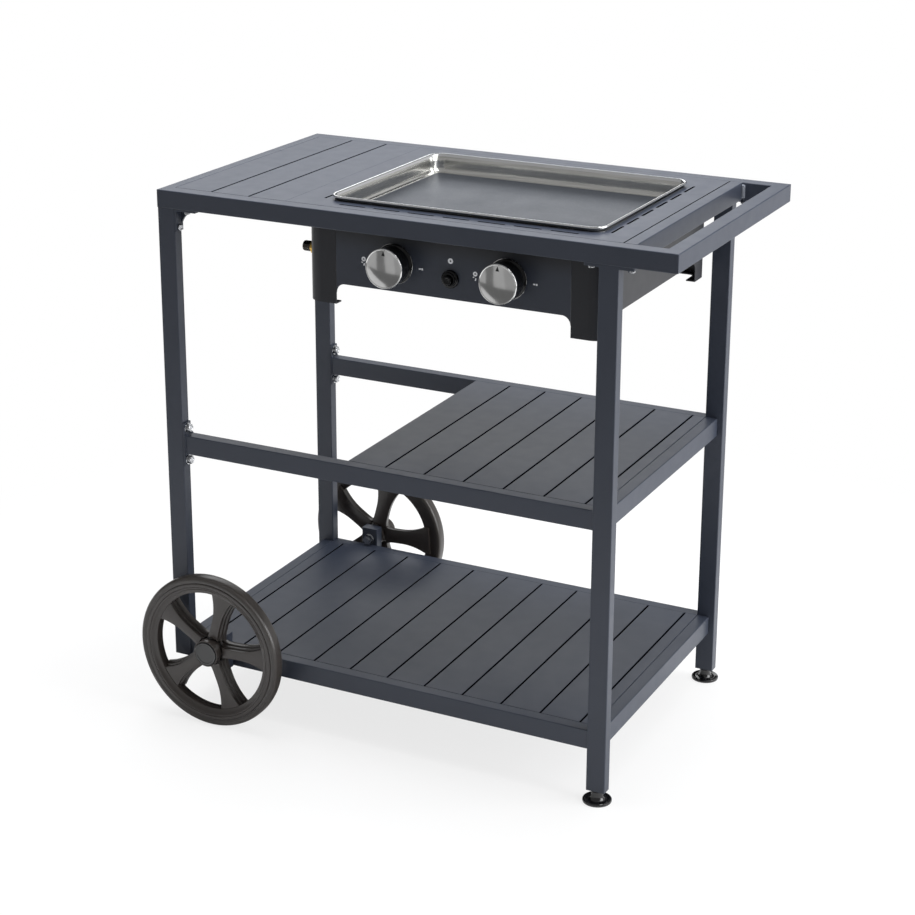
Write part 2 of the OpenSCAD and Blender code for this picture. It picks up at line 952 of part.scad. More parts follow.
module front_wheel() {
    back_r = hub_r - 8;
    lip = 1;
    on_axle()
        difference() {
            union() {
                rotate_extrude($fn = 128)
                    polygon([
                        [rim_inner_r, tyre_in + 2], [rim_r, tyre_in + 2], [rim_r, tyre_out - lip],
                        [rim_r - 6, tyre_out - lip], [rim_r - 9, tyre_out - lip - 3],
                        [rim_inner_r, spoke_out + 1]
                    ]);
                translate([0, 0, hub_in])
                    cylinder(h = hub_out - hub_in, r = back_r, $fn = 64);
                translate([0, 0, spoke_out - spoke_t - 2])
                    cylinder(h = hub_out - spoke_out + spoke_t + 2, r = hub_r, $fn = 64);
                translate([0, 0, spoke_out - spoke_t])
                    for (i = [0 : spoke_count - 1])
                        rotate([0, 0, spoke_turn + i * 360 / spoke_count])
                            spoke();
            }
            translate([0, 0, hub_floor])
                cylinder(h = hub_out - hub_floor + 1, r = hub_cap_r + cap_gap, $fn = 64);
            translate([0, 0, hub_in - 1])
                cylinder(h = hub_out - hub_in + 2, r = axle_r + run_clear, $fn = 64);
        }
}

module wheel_front() {
    color(wheel_colour)
        place()
            front_wheel();
}

module wheel_back() {
    color(wheel_colour)
        place()
            to_back()
                front_wheel();
}

module front_tyre() {
    on_axle()
        rotate_extrude($fn = 128)
            intersection() {
                translate([wheel_r - 3 * tyre_t, tyre_in])
                    round_rect(3 * tyre_t, wheel_w, 6);
                translate([rim_r, tyre_in])
                    square([tyre_t, wheel_w]);
            }
}

module tyre_front() {
    color(wheel_colour)
        place()
            front_tyre();
}

module tyre_back() {
    color(wheel_colour)
        place()
            to_back()
                front_tyre();
}

module front_hub_cap() {
    on_axle() {
        translate([0, 0, hub_out - cap_t])
            cylinder(h = cap_t + cap_proud, r = hub_cap_r, $fn = 64);
        translate([0, 0, hub_floor])
            difference() {
                cylinder(h = hub_out - cap_t - hub_floor, r = hub_cap_r, $fn = 64);
                translate([0, 0, -1])
                    cylinder(h = hub_out - cap_t - hub_floor + 1, r = hub_cap_r - cap_wall, $fn = 64);
            }
    }
}

module hub_cap_front() {
    color(wheel_colour)
        place()
            front_hub_cap();
}

module hub_cap_back() {
    color(wheel_colour)
        place()
            to_back()
                front_hub_cap();
}

// Feet

// Puts a foot piece, drawn upwards, below the front right leg
module at_foot() {
    translate([right_leg_mid, leg_inset + leg_d / 2, 0])
        children();
}

module front_foot_pad() {
    rim_top = 5;
    boss_foot = 6;
    at_foot()
        difference() {
            rotate_extrude($fn = 96)
                polygon([
                    [0, 0], [foot_r - 1, 0], [foot_r, 1], [foot_r, rim_top - 1], [foot_r - 1, rim_top],
                    [foot_r - 2.5, rim_top - 0.4], [foot_r - 6, foot_floor], [foot_boss_r + 2, boss_foot],
                    [foot_boss_r, boss_foot + 2.5], [foot_boss_r, foot_h - move_gap - 1],
                    [foot_boss_r - 1, foot_h - move_gap], [0, foot_h - move_gap]
                ]);
            translate([0, 0, foot_floor])
                cylinder(h = foot_h, r = stud_r + run_clear, $fn = 48);
        }
}

module foot_pad_front() {
    color(black_colour)
        place()
            front_foot_pad();
}

module foot_pad_back() {
    color(black_colour)
        place()
            to_back()
                front_foot_pad();
}

module front_foot_stud() {
    at_foot()
        translate([0, 0, foot_floor + move_gap])
            cylinder(h = stud_l, r = stud_r, $fn = 48);
}

module foot_stud_front() {
    color(zinc_colour)
        place()
            front_foot_stud();
}

module foot_stud_back() {
    color(zinc_colour)
        place()
            to_back()
                front_foot_stud();
}

// Burner housing

// Fillet in a corner at the origin, between an edge to the right and an edge downwards
module fillet(r) {
    translate([0, -r])
        difference() {
            square([r, r]);
            translate([r, 0])
                circle(r = r, $fn = 64);
        }
}

// Fillet on the side sheet, at y, growing along Y
module side_fillet(y) {
    translate([housing_x0, y, panel_z])
        rotate([90, 0, 90])
            linear_extrude(sheet_t)
                fillet(post_fillet_r);
}

// Mirrors a front piece of the housing to its back
module to_housing_back() {
    translate([0, 2 * hob_y, 0])
        mirror([0, 1, 0])
            children();
}

// Left side of the housing with its two corner legs
module housing_side() {
    side_foot_y = panel_y + post_w;
    difference() {
        translate([housing_x0, panel_y, post_z])
            linear_extrude(surround_z - post_z)
                difference() {
                    round_rect(housing_w, housing_d, housing_r);
                    translate([sheet_t, sheet_t])
                        round_rect(housing_w - 2 * sheet_t, housing_d - 2 * sheet_t, housing_r - sheet_t);
                    translate([post_w, -1])
                        square([housing_w, housing_d + 2]);
                }
        translate([housing_x0 - 1, side_foot_y, post_z - 1])
            cube([sheet_t + 2, housing_d - 2 * post_w, panel_z - post_z + 1]);
    }
    side_fillet(side_foot_y);
    to_housing_back()
        side_fillet(side_foot_y);
    translate([housing_x0 - flange_w, panel_y + housing_r, surround_z - sheet_t])
        cube([flange_w, housing_d - 2 * housing_r, sheet_t]);
    housing_foot();
    to_housing_back()
        housing_foot();
}

// Turned-in edge below a corner leg, with its screw hole
module housing_foot() {
    difference() {
        translate([housing_x0, panel_y, post_z])
            linear_extrude(foot_edge_t)
                difference() {
                    intersection() {
                        round_rect(housing_w, housing_d, housing_r);
                        square([post_w, post_w]);
                    }
                    translate([foot_edge_w, foot_edge_w])
                        round_rect(housing_w - 2 * foot_edge_w, housing_d - 2 * foot_edge_w,
                            housing_r - foot_edge_w);
                }
        rod_z(housing_x0 + post_w - foot_hole_shift, panel_y + (sheet_t + foot_edge_w) / 2, post_z - 1,
            post_z + foot_edge_t + 1, foot_hole_r);
    }
}

module housing_left() {
    color(housing_colour)
        place()
            difference() {
                housing_side();
                rod_x(housing_x0 - 1, housing_x0 + sheet_t + 1, manifold_axis, knob_z,
                    manifold_r + bolt_play);
            }
}

module housing_right() {
    color(housing_colour)
        place()
            to_hob_right()
                housing_side();
}

module housing_back() {
    x0 = housing_x0 + post_w + panel_gap;
    w = housing_w - 2 * post_w - 2 * panel_gap;
    color(housing_colour)
        place() {
            translate([x0, housing_y1 - sheet_t, panel_z])
                cube([w, sheet_t, surround_z - panel_z]);
            translate([x0, housing_y1 - sheet_t, surround_z - sheet_t])
                cube([w, flange_w, sheet_t]);
        }
}

module control_panel() {
    x0 = housing_x0 + post_w + panel_gap;
    w = housing_w - 2 * post_w - 2 * panel_gap;
    color(housing_colour)
        place()
            difference() {
                union() {
                    translate([x0, panel_y, panel_z])
                        cube([w, sheet_t, surround_z - panel_z]);
                    translate([x0 + post_fillet_r, panel_y, panel_z])
                        cube([w - 2 * post_fillet_r, return_w, sheet_t]);
                    for (side = [0, 1])
                        translate([side == 0 ? x0 : x0 + w, panel_y + sheet_t, panel_z])
                            mirror([side, 0, 0])
                                rotate([90, 0, 0])
                                    linear_extrude(sheet_t)
                                        fillet(post_fillet_r);
                }
                for (side = [-1, 1])
                    rod_y(hob_x + side * knob_pitch / 2, panel_y - 1, panel_y + sheet_t + 1, knob_z,
                        spindle_r + 1.5);
                rod_y(hob_x, panel_y - 1, panel_y + sheet_t + 1, igniter_z, igniter_neck_r + bolt_play);
            }
}

// Griddle tray

// Solid with round upright corners and a round lower edge, standing on the origin's plane round its middle
module tray_solid(w, d, h, r, bottom_r) {
    corner_x = w / 2 - r;
    corner_y = d / 2 - r;
    translate([-w / 2, -d / 2, bottom_r])
        linear_extrude(h - bottom_r)
            round_rect(w, d, r);
    translate([-w / 2 + bottom_r, -d / 2 + bottom_r, 0])
        linear_extrude(bottom_r)
            round_rect(w - 2 * bottom_r, d - 2 * bottom_r, r - bottom_r);
    for (side = [-1, 1]) {
        rod_x(-corner_x, corner_x, side * (d / 2 - bottom_r), bottom_r, bottom_r);
        rod_y(side * (w / 2 - bottom_r), -corner_y, corner_y, bottom_r, bottom_r);
    }
    for (x = [-1, 1], y = [-1, 1])
        translate([x * corner_x, y * corner_y, bottom_r])
            rotate_extrude($fn = 48)
                intersection() {
                    translate([r - bottom_r, 0])
                        circle(r = bottom_r, $fn = 48);
                    translate([0, -bottom_r])
                        square([r, 2 * bottom_r]);
                }
}

module griddle_tray() {
    color(steel_colour)
        place()
            translate([hob_x, hob_y, tray_under])
                difference() {
                    union() {
                        tray_solid(wall_w, wall_d, tray_depth + tray_t, wall_r, tray_bottom_r);
                        translate([-tray_w / 2, -tray_d / 2, tray_depth + tray_t - rim_h])
                            linear_extrude(rim_h)
                                round_rect(tray_w, tray_d, tray_r);
                    }
                    translate([0, 0, tray_t])
                        tray_solid(wall_w - 2 * tray_t, wall_d - 2 * tray_t, tray_depth + 1, wall_r - tray_t,
                            tray_bottom_r - tray_t);
                }
}

module tray_supports() {
    x = housing_x0 + sheet_t;
    top = tray_under - move_gap;
    color(zinc_colour)
        place()
            for (side = [0, 1], end = [-1, 1])
                translate([side * 2 * hob_x, 0, 0])
                    mirror([side, 0, 0])
                        translate([x, hob_y + end * support_shift - support_l / 2, 0]) {
                            translate([0, 0, top - support_t])
                                cube([support_w, support_l, support_t]);
                            translate([0, 0, top - support_flange_h])
                                cube([support_t, support_l, support_flange_h]);
                        }
}

// Gas parts

// Burner tube with closed ends, a nozzle hole in front and flame ports along both sides
module burner(x) {
    port_pitch = (burner_l - port_start - port_end) / port_count;
    difference() {
        rod_y(x, burner_y, burner_y + burner_l, nozzle_z, burner_r);
        rod_y(x, burner_y + burner_end, burner_y + burner_l - burner_end, nozzle_z, burner_r - burner_wall);
        rod_y(x, burner_y - 1, burner_y + burner_end + 1, nozzle_z, nozzle_r + 0.5);
        for (i = [0 : port_count - 1])
            translate([x - burner_r - 1, burner_y + port_start + i * port_pitch, nozzle_z + burner_r / 2])
                cube([2 * burner_r + 2, 2, 2]);
    }
}

module burners() {
    color(steel_colour)
        place()
            for (side = [-1, 1])
                burner(hob_x + side * knob_pitch / 2);
}

// Angle bar across the housing
module burner_carriers() {
    color(zinc_colour)
        place()
            for (y = [carrier_front_y, carrier_back_y])
                translate([housing_x0 + sheet_t, y, carrier_z - sheet_t]) {
                    cube([housing_w - 2 * sheet_t, carrier_w, sheet_t]);
                    translate([0, carrier_w - sheet_t, sheet_t - carrier_w])
                        cube([housing_w - 2 * sheet_t, sheet_t, carrier_w - sheet_t]);
                }
}

module manifold() {
    color(zinc_colour)
        place()
            difference() {
                rod_x(manifold_x0, manifold_x1, manifold_axis, knob_z, manifold_r);
                rod_x(manifold_x0 - 1, manifold_x1 - 2, manifold_axis, knob_z, manifold_r - tube_wall);
            }
}

module gas_inlet() {
    tip_x = housing_x0 - inlet_l;
    color(brass_colour)
        place()
            difference() {
                union() {
                    rod_x(tip_x, housing_x0 - inlet_hex_l, manifold_axis, knob_z, inlet_r);
                    rod_x(housing_x0 - inlet_hex_l, housing_x0, manifold_axis, knob_z, inlet_hex_r, 6);
                    rod_x(housing_x0, manifold_x0, manifold_axis, knob_z, manifold_r);
                }
                rod_x(tip_x - 1, manifold_x0 + 1, manifold_axis, knob_z, manifold_r - 2 * tube_wall);
            }
}

// Valve block behind the panel, let into the manifold, with its nozzle over the manifold
module gas_valve(x) {
    block_y = panel_y + sheet_t;
    difference() {
        union() {
            translate([x - valve_w / 2, block_y, knob_z - valve_bottom])
                cube([valve_w, manifold_axis - block_y, valve_bottom + valve_top]);
            rod_y(x, manifold_axis - 1, manifold_axis + nozzle_l, nozzle_z, nozzle_r);
        }
        rod_x(x - valve_w, x + valve_w, manifold_axis, knob_z, manifold_r);
        rod_y(x, block_y - 1, spindle_end + 1, knob_z, spindle_r + run_clear);
    }
}

module gas_valves() {
    color(brass_colour)
        place()
            for (side = [-1, 1])
                gas_valve(hob_x + side * knob_pitch / 2);
}

// Shaft with a flat along its front end, so that the knob turns it
module spindle(x) {
    difference() {
        rod_y(x, spindle_front, spindle_end, knob_z, spindle_r);
        translate([x - spindle_r - 1, spindle_front - 1, knob_z + spindle_flat])
            cube([2 * spindle_r + 2, spindle_flat_l + 1, spindle_r]);
    }
}

module spindle_left() {
    color(zinc_colour)
        place()
            spindle(hob_x - knob_pitch / 2);
}

module spindle_right() {
    color(zinc_colour)
        place()
            spindle(hob_x + knob_pitch / 2);
}

// Knob shell with a boss whose bore fits the spindle and its flat
module knob(x) {
    bore_r = spindle_r + run_clear;
    cavity_y = knob_body_front + knob_wall;
    difference() {
        rod_y(x, knob_body_front, knob_back, knob_z, knob_skirt_r, 96);
        difference() {
            rod_y(x, cavity_y, knob_back + 1, knob_z, knob_skirt_r - knob_wall, 96);
            difference() {
                rod_y(x, cavity_y - 1, knob_back, knob_z, knob_boss_r);
                rod_y(x, cavity_y, knob_back + 1, knob_z, bore_r);
            }
            translate([x - bore_r, cavity_y - 1, knob_z + spindle_flat + run_clear])
                cube([2 * bore_r, spindle_front + spindle_flat_l - knob_travel - 1 - cavity_y, spindle_r]);
        }
    }
}

module knob_left() {
    color(black_colour)
        place()
            knob(hob_x - knob_pitch / 2);
}

module knob_right() {
    color(black_colour)
        place()
            knob(hob_x + knob_pitch / 2);
}

module knob_face_left() {
    color(steel_colour)
        place()
            rod_y(hob_x - knob_pitch / 2, knob_front, knob_body_front, knob_z, knob_r, 96);
}

module knob_face_right() {
    color(steel_colour)
        place()
            rod_y(hob_x + knob_pitch / 2, knob_front, knob_body_front, knob_z, knob_r, 96);
}

module knob_bezels() {
    color(steel_colour)
        place()
            for (side = [-1, 1]) {
                x = hob_x + side * knob_pitch / 2;
                difference() {
                    rod_y(x, panel_y - bezel_t, panel_y, knob_z, bezel_r, 96);
                    rod_y(x, panel_y - bezel_t - 1, panel_y + 1, knob_z, bezel_r - 10, 96);
                }
            }
}

// Igniter with its stepped collar in front of the panel
module igniter_body() {
    neck_y = panel_y + sheet_t;
    color(black_colour)
        place()
            difference() {
                union() {
                    rod_y(hob_x, panel_y - bezel_t, panel_y, igniter_z, igniter_r);
                    rod_y(hob_x, panel_y - bezel_t - igniter_step, panel_y - bezel_t, igniter_z,
                        igniter_r - igniter_step);
                    rod_y(hob_x, panel_y, neck_y, igniter_z, igniter_neck_r);
                    rod_y(hob_x, neck_y, panel_y + igniter_length, igniter_z, igniter_neck_r + 1);
                }
                rod_y(hob_x, panel_y - bezel_t - igniter_step - 1, panel_y + igniter_length - 4, igniter_z,
                    button_r + run_clear);
            }
}

module igniter_button() {
    color(black_colour)
        place()
            rod_y(hob_x, panel_y - button_stand, panel_y + igniter_length - 5 - button_travel, igniter_z,
                button_r);
}

// Ceramic electrode on the front carrier with its pin beside the burner, and the lead from the igniter to it
module electrode(side) {
    x = hob_x + side * (knob_pitch / 2 - electrode_shift);
    y = carrier_front_y + carrier_w / 2;
    lead_x = hob_x + side * lead_spread;
    lead_z = knob_z - manifold_r - lead_r - 4;
    turn_y = manifold_axis + manifold_r + 10;
    rod_z(x, y, carrier_z, nozzle_z + burner_r / 2, electrode_r);
    rod_z(x, y, nozzle_z + burner_r / 2, nozzle_z + burner_r, 1);
    rod_y(lead_x, panel_y + igniter_length, turn_y, lead_z, lead_r, 24);
    translate([lead_x, turn_y, lead_z])
        sphere(r = lead_r, $fn = 24);
    rod_x(min(lead_x, x), max(lead_x, x), turn_y, lead_z, lead_r, 24);
    translate([x, turn_y, lead_z])
        sphere(r = lead_r, $fn = 24);
    rod_z(x, turn_y, lead_z, carrier_z + 4, lead_r, 24);
    translate([x, turn_y, carrier_z + 4])
        sphere(r = lead_r, $fn = 24);
    rod_y(x, turn_y, y, carrier_z + 4, lead_r, 24);
}

module electrodes() {
    color([0.85, 0.83, 0.78])
        place()
            for (side = [-1, 1])
                electrode(side);
}

top_rail_front();
top_rail_back();
top_rail_left();
top_cross_bar();
handle_bar();
top_slats();
hob_surround();
leg_front_left();
leg_front_right();
leg_back_left();
leg_back_right();
leg_top_plates();
corner_brackets();
leg_top_bolts();
leg_plugs();
mid_rail_front();
mid_rail_back();
mid_rail_right();
mid_end_plates();
mid_slats();
shelf_bolts();
low_rail_front();
low_rail_back();
low_rail_left();
low_rail_right();
low_slats();
axle_brackets();
axles();
axle_nuts();
wheel_front();
wheel_back();
tyre_front();
tyre_back();
hub_cap_front();
hub_cap_back();
foot_pad_front();
foot_pad_back();
foot_stud_front();
foot_stud_back();
housing_left();
housing_right();
housing_back();
control_panel();
griddle_tray();
tray_supports();
burners();
burner_carriers();
manifold();
gas_inlet();
gas_valves();
spindle_left();
spindle_right();
knob_left();
knob_right();
knob_face_left();
knob_face_right();
knob_bezels();
igniter_body();
igniter_button();
electrodes();
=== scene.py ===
import math

import bmesh
import bpy
from mathutils import Matrix, Vector


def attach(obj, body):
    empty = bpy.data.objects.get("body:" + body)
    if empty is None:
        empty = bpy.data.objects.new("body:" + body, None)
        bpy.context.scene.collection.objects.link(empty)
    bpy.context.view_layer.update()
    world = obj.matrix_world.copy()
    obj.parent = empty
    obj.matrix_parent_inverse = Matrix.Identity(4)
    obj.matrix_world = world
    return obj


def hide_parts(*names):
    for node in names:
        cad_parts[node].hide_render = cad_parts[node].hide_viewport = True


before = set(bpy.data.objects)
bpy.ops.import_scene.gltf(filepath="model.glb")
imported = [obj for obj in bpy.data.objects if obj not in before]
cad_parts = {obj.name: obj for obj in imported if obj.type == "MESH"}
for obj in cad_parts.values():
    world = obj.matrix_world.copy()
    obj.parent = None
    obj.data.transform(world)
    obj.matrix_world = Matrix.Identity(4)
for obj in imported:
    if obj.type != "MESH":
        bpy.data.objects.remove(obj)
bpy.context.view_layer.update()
bpy.ops.object.select_all(action="DESELECT")

# Main sizes of the station, in millimetres from the tabletop's left front corner at floor level
SHIFT_X = -418.25
SHIFT_Y = -247.5
TOP_Z = 880.0
AXLE_X = 98.8
AXLE_Z = 130.3
FOOT_X = 763.5
FOOT_Y = 10.1
PANEL_Y = 27.0
HOB_X = 500.5
HOB_Y = 238.5
KNOB_X = (406.75, 594.25)
KNOB_Z = 804.0
IGNITER_Z = 792.0
MM = 0.001


def at(x, y, z):
    """Point of the bench drawing, in millimetres, as a point of the shared frame, in metres."""
    return Vector(((x + SHIFT_X) * MM, (y + SHIFT_Y) * MM, z * MM))


# Camera

YAW = math.radians(26.612)
RISE = math.radians(17.76)
ROLL = math.radians(0.216)
CAMERA_PLACE = Vector((1.4328, -2.8917, 1.6155))
LENS = 82.45
FRAMING_SHIFT = -0.1


def add_camera():
    back = Vector((math.sin(YAW) * math.cos(RISE), -math.cos(YAW) * math.cos(RISE), math.sin(RISE)))
    right = (-back).cross(Vector((0, 0, 1))).normalized()
    up = right.cross(-back)
    turned_right = math.cos(ROLL) * right + math.sin(ROLL) * up
    turned_up = -math.sin(ROLL) * right + math.cos(ROLL) * up
    turn = Matrix((turned_right, turned_up, back)).transposed()
    bpy.ops.object.camera_add(location=CAMERA_PLACE, rotation=turn.to_euler())
    camera = bpy.context.object
    camera.name = "camera"
    camera.data.sensor_width = 36
    camera.data.lens = LENS
    camera.data.shift_y = FRAMING_SHIFT
    camera.data.clip_start = 0.05
    camera.data.clip_end = 60
    bpy.context.scene.camera = camera


# Shader nodes

class Shade:
    """A shader socket that takes part in sums as a number does."""

    def __init__(self, finish, socket):
        self.finish = finish
        self.socket = socket

    def sum(self, operation, first, second):
        return self.finish.add("ShaderNodeMath", {"operation": operation}, {0: first, 1: second})

    def __add__(self, other):
        return self.sum("ADD", self, other)

    def __radd__(self, other):
        return self.sum("ADD", other, self)

    def __sub__(self, other):
        return self.sum("SUBTRACT", self, other)

    def __rsub__(self, other):
        return self.sum("SUBTRACT", other, self)

    def __mul__(self, other):
        return self.sum("MULTIPLY", self, other)

    def __rmul__(self, other):
        return self.sum("MULTIPLY", other, self)

    def __truediv__(self, other):
        return self.sum("DIVIDE", self, other)

    def __gt__(self, other):
        return self.sum("GREATER_THAN", self, other)

    def __lt__(self, other):
        return self.sum("LESS_THAN", self, other)


class Finish:
    """A node tree that is filled in from its source towards its output."""

    def __init__(self, tree):
        self.tree = tree
        self.tree.nodes.clear()

    def add(self, kind, settings, inputs, output=0):
        """Adds a node, sets it up, fills its sockets and gives back one of its outputs."""
        made = self.tree.nodes.new(kind)
        for key, value in settings.items():
            setattr(made, key, value)
        for key, value in inputs.items():
            if isinstance(value, Shade):
                self.tree.links.new(value.socket, made.inputs[key])
            else:
                made.inputs[key].default_value = value
        return Shade(self, made.outputs[output]) if len(made.outputs) else None

    def place(self):
        return self.add("ShaderNodeTexCoord", {}, {}, "Object")

    def noise(self, scale, detail=2.0, rough=0.5, stretch=(1, 1, 1)):
        spot = self.add("ShaderNodeMapping", {}, {"Vector": self.place(), "Scale": stretch})
        sizes = {"Vector": spot, "Scale": scale, "Detail": detail, "Roughness": rough}
        return self.add("ShaderNodeTexNoise", {}, sizes)

    def part(self, vector, index):
        """The x, y or z of a vector, by its index."""
        return self.add("ShaderNodeSeparateXYZ", {}, {0: vector}, index)

    def ramp(self, value, start, end, first=0.0, last=1.0, kind="SMOOTHSTEP"):
        """Goes from first to last while the value goes from start to end."""
        return self.add("ShaderNodeMapRange", {"interpolation_type": kind}, {
            "Value": value, "From Min": start, "From Max": end, "To Min": first, "To Max": last,
        })

    def blend(self, share, first, second):
        return self.add("ShaderNodeMix", {"data_type": "RGBA"}, {0: share, 6: first, 7: second}, 2)

    def shaded(self, share, dark, light):
        """Blend of two shades that are given as they show."""
        return self.blend(share, colour(*dark), colour(*light))

    def bump(self, height, depth, strength=1.0):
        return self.add("ShaderNodeBump", {}, {"Height": height, "Distance": depth, "Strength": strength})

    def surface(self, sockets):
        made = self.add("ShaderNodeBsdfPrincipled", {}, sockets)
        self.add("ShaderNodeOutputMaterial", {}, {"Surface": made})


def new_finish(name):
    material = bpy.data.materials.new(name)
    material.use_nodes = True
    return material, Finish(material.node_tree)


def colour(red, green, blue):
    """Linear colour of a shade that is given as it shows, from 0 to 255."""
    shown = [value / 255 for value in (red, green, blue)]
    return tuple(v / 12.92 if v <= 0.04045 else ((v + 0.055) / 1.055) ** 2.4 for v in shown) + (1.0,)


def powder_coat(name, dark, light, rough, grain, shine=0.4):
    """Fine-textured powder coat: a soft mottle in the colour and a close grain in the surface."""
    material, f = new_finish(name)
    mottle = f.noise(9, 3)
    speck = f.noise(1400, 2, 0.6)
    share = mottle * 0.7 + speck * 0.3
    height = f.noise(900, 3, 0.6) * 0.7 + f.noise(260, 2) * 0.3
    f.surface({
        "Base Color": f.shaded(share, dark, light),
        "Specular IOR Level": shine,
        "Roughness": rough - 0.05 + f.noise(40, 3) * 0.1,
        "Normal": f.bump(height, grain),
    })
    return material


def panel_coat_and_shade():
    """Powder coat of the control panel, with the shade of the front rail painted into its colour along its
    top.
    """
    material, f = new_finish("panel_powder_coat_and_painted_shade")
    rail_bottom = 0.855
    lit_below = 0.81
    lit = f.ramp(f.part(f.place(), 2), rail_bottom, lit_below)
    paint = f.shaded(f.noise(9, 3), (40, 45, 56), (48, 53, 65))
    f.surface({
        # Painted shade: the colour goes almost black towards the rail's underside
        "Base Color": f.blend(lit, colour(14, 15, 19), paint),
        "Roughness": 0.56 - lit * 0.2,
        "Normal": f.bump(f.noise(900, 3, 0.6), 0.00002),
    })
    return material


def moulded_plastic(name, dark, light, rough, grain, coat=0.0, shine=0.5):
    """Moulded plastic: an even colour with a faint flow mottle and a fine leather grain."""
    material, f = new_finish(name)
    flow = f.noise(35, 4, 0.6)
    height = f.noise(1100, 2, 0.5)
    sockets = {
        "Base Color": f.shaded(flow, dark, light),
        "Specular IOR Level": shine,
        "Roughness": rough - 0.05 + f.noise(70, 3) * 0.1,
        "Normal": f.bump(height, grain),
    }
    if coat:
        sockets["Coat Weight"] = coat
    f.surface(sockets)
    return material


def plated_metal(name, dark, light, rough, spread, stretch=(1, 1, 1), grain=0.000004):
    """Bare or plated metal with fine drawing marks along one direction."""
    material, f = new_finish(name)
    marks = f.noise(320, 3, 0.65, stretch)
    f.surface({
        "Base Color": f.shaded(f.noise(60, 3), dark, light),
        "Metallic": 1.0,
        "Roughness": rough + marks * spread,
        "Normal": f.bump(marks, grain),
    })
    return material


def griddle_steel():
    """Stainless tray: bright drawn walls, and a floor with a close pressed stipple and a softer shine."""
    material, f = new_finish("griddle_steel")
    floor_z = 0.8568
    radius_z = 0.8574
    lip_z = 0.8835
    height = f.part(f.place(), 2)
    on_floor = f.ramp(height, floor_z, radius_z, 1.0, 0.0, "LINEAR")
    stipple = {"Vector": f.place(), "Scale": 260.0, "Randomness": 0.12}
    cells = f.add("ShaderNodeTexVoronoi", {"feature": "F1"}, stipple)
    dimple = f.ramp(cells, 0.1, 0.5)
    marks = f.noise(500, 3, 0.6, (0.04, 0.04, 1))
    stain = f.noise(14, 4, 0.6)
    speck = f.shaded(f.noise(330, 1, 0.5, (1, 0.35, 1)), (78, 82, 88), (174, 179, 186))
    lines = f.noise(420, 2, 0.5, (0.03, 0.03, 1))
    wall = f.shaded(lines, (240, 240, 237), (184, 183, 179))
    steel = f.blend(height > lip_z, wall, colour(226, 227, 228))
    relief = dimple * on_floor + marks * 0.01
    f.surface({
        "Base Color": f.blend(on_floor, steel, f.blend(dimple, speck, colour(73, 77, 84))),
        "Metallic": 1.0 - on_floor * 0.3,
        "Roughness": 0.16 + marks * 0.12 + on_floor * (0.2 + stain * 0.1),
        "Normal": f.bump(relief, 0.0002, 0.8),
    })
    return material


def white_ink():
    """Print on the control panel."""
    material, f = new_finish("white_ink")
    f.surface({
        "Base Color": f.shaded(f.noise(2600, 2), (215, 217, 222), (240, 241, 244)),
        "Roughness": 0.42 + f.noise(900, 2) * 0.1,
    })
    return material


# Modelling helpers, all on Blender's own operators

JOIN_DISTANCE = 0.000002


def pick(*pieces):
    """Selects these pieces alone and makes the first one active."""
    bpy.ops.object.select_all(action="DESELECT")
    for piece in pieces:
        piece.select_set(True)
    bpy.context.view_layer.objects.active = pieces[0]


def start_edit(piece):
    pick(piece)
    bpy.ops.object.mode_set(mode="EDIT")
    bpy.ops.mesh.select_mode(type="VERT")
    bpy.ops.mesh.select_all(action="DESELECT")


def choose(test, kind="verts"):
    """Selects, in edit mode, the vertices, edges or faces that pass the test."""
    piece = bpy.context.edit_object
    bpy.ops.mesh.select_mode(type={"verts": "VERT", "edges": "EDGE", "faces": "FACE"}[kind])
    mesh = bmesh.from_edit_mesh(piece.data)
    for element in (*mesh.verts, *mesh.edges, *mesh.faces):
        element.select = False
    for element in getattr(mesh, kind):
        if test(element):
            element.select_set(True)
    mesh.select_flush_mode()
    bmesh.update_edit_mesh(piece.data)


def choose_all():
    bpy.ops.mesh.select_all(action="SELECT")


def extrude_by(step):
    bpy.ops.mesh.extrude_region_move(TRANSFORM_OT_translate={"value": step})


def face_outwards():
    choose_all()
    bpy.ops.mesh.remove_doubles(threshold=JOIN_DISTANCE)
    bpy.ops.mesh.normals_make_consistent(inside=False)


def end_edit():
    bpy.ops.object.mode_set(mode="OBJECT")


def settle(piece, name):
    """Names a piece and brings its place into its mesh."""
    pick(piece)
    bpy.ops.object.transform_apply(location=True, rotation=True, scale=True)
    piece.name = name
    piece.data.name = name
    return piece


def modify(piece, kind, **settings):
    """Adds a modifier and applies it."""
    bpy.context.view_layer.objects.active = piece
    added = piece.modifiers.new(kind.lower(), kind)
    for key, value in settings.items():
        setattr(added, key, value)
    bpy.ops.object.modifier_apply(modifier=added.name)


def soften(piece, angle=32):
    pick(piece)
    bpy.ops.object.shade_smooth_by_angle(angle=math.radians(angle))


def traced(spots):
    """Starts a piece as a line through the points and leaves it in edit mode."""
    bpy.ops.mesh.primitive_plane_add(size=0.001, location=spots[0])
    piece = bpy.context.object
    bpy.ops.object.transform_apply(location=True)
    start_edit(piece)
    choose_all()
    bpy.ops.mesh.merge(type="CENTER")
    for here, there in zip(spots, spots[1:]):
        extrude_by(there - here)
    choose_all()
    return piece


def traced_ring(spots):
    """Starts a piece as a closed line through the points and leaves it in edit mode."""
    piece = traced([*spots, spots[0]])
    bpy.ops.mesh.remove_doubles(threshold=JOIN_DISTANCE)
    choose_all()
    return piece


def drawn_out(name, spots, along):
    """Closed outline of points drawn out along a direction, in metres."""
    piece = traced_ring(spots)
    bpy.ops.mesh.edge_face_add()
    extrude_by(along)
    face_outwards()
    end_edit()
    return settle(piece, name)


def thicken(piece, depth):
    """Gives a flat piece that faces the front a depth, in metres."""
    start_edit(piece)
    choose_all()
    extrude_by((0, depth, 0))
    face_outwards()
    end_edit()
    return piece


AXES = {"X": Vector((1, 0, 0)), "Y": Vector((0, 1, 0)), "Z": Vector((0, 0, 1))}


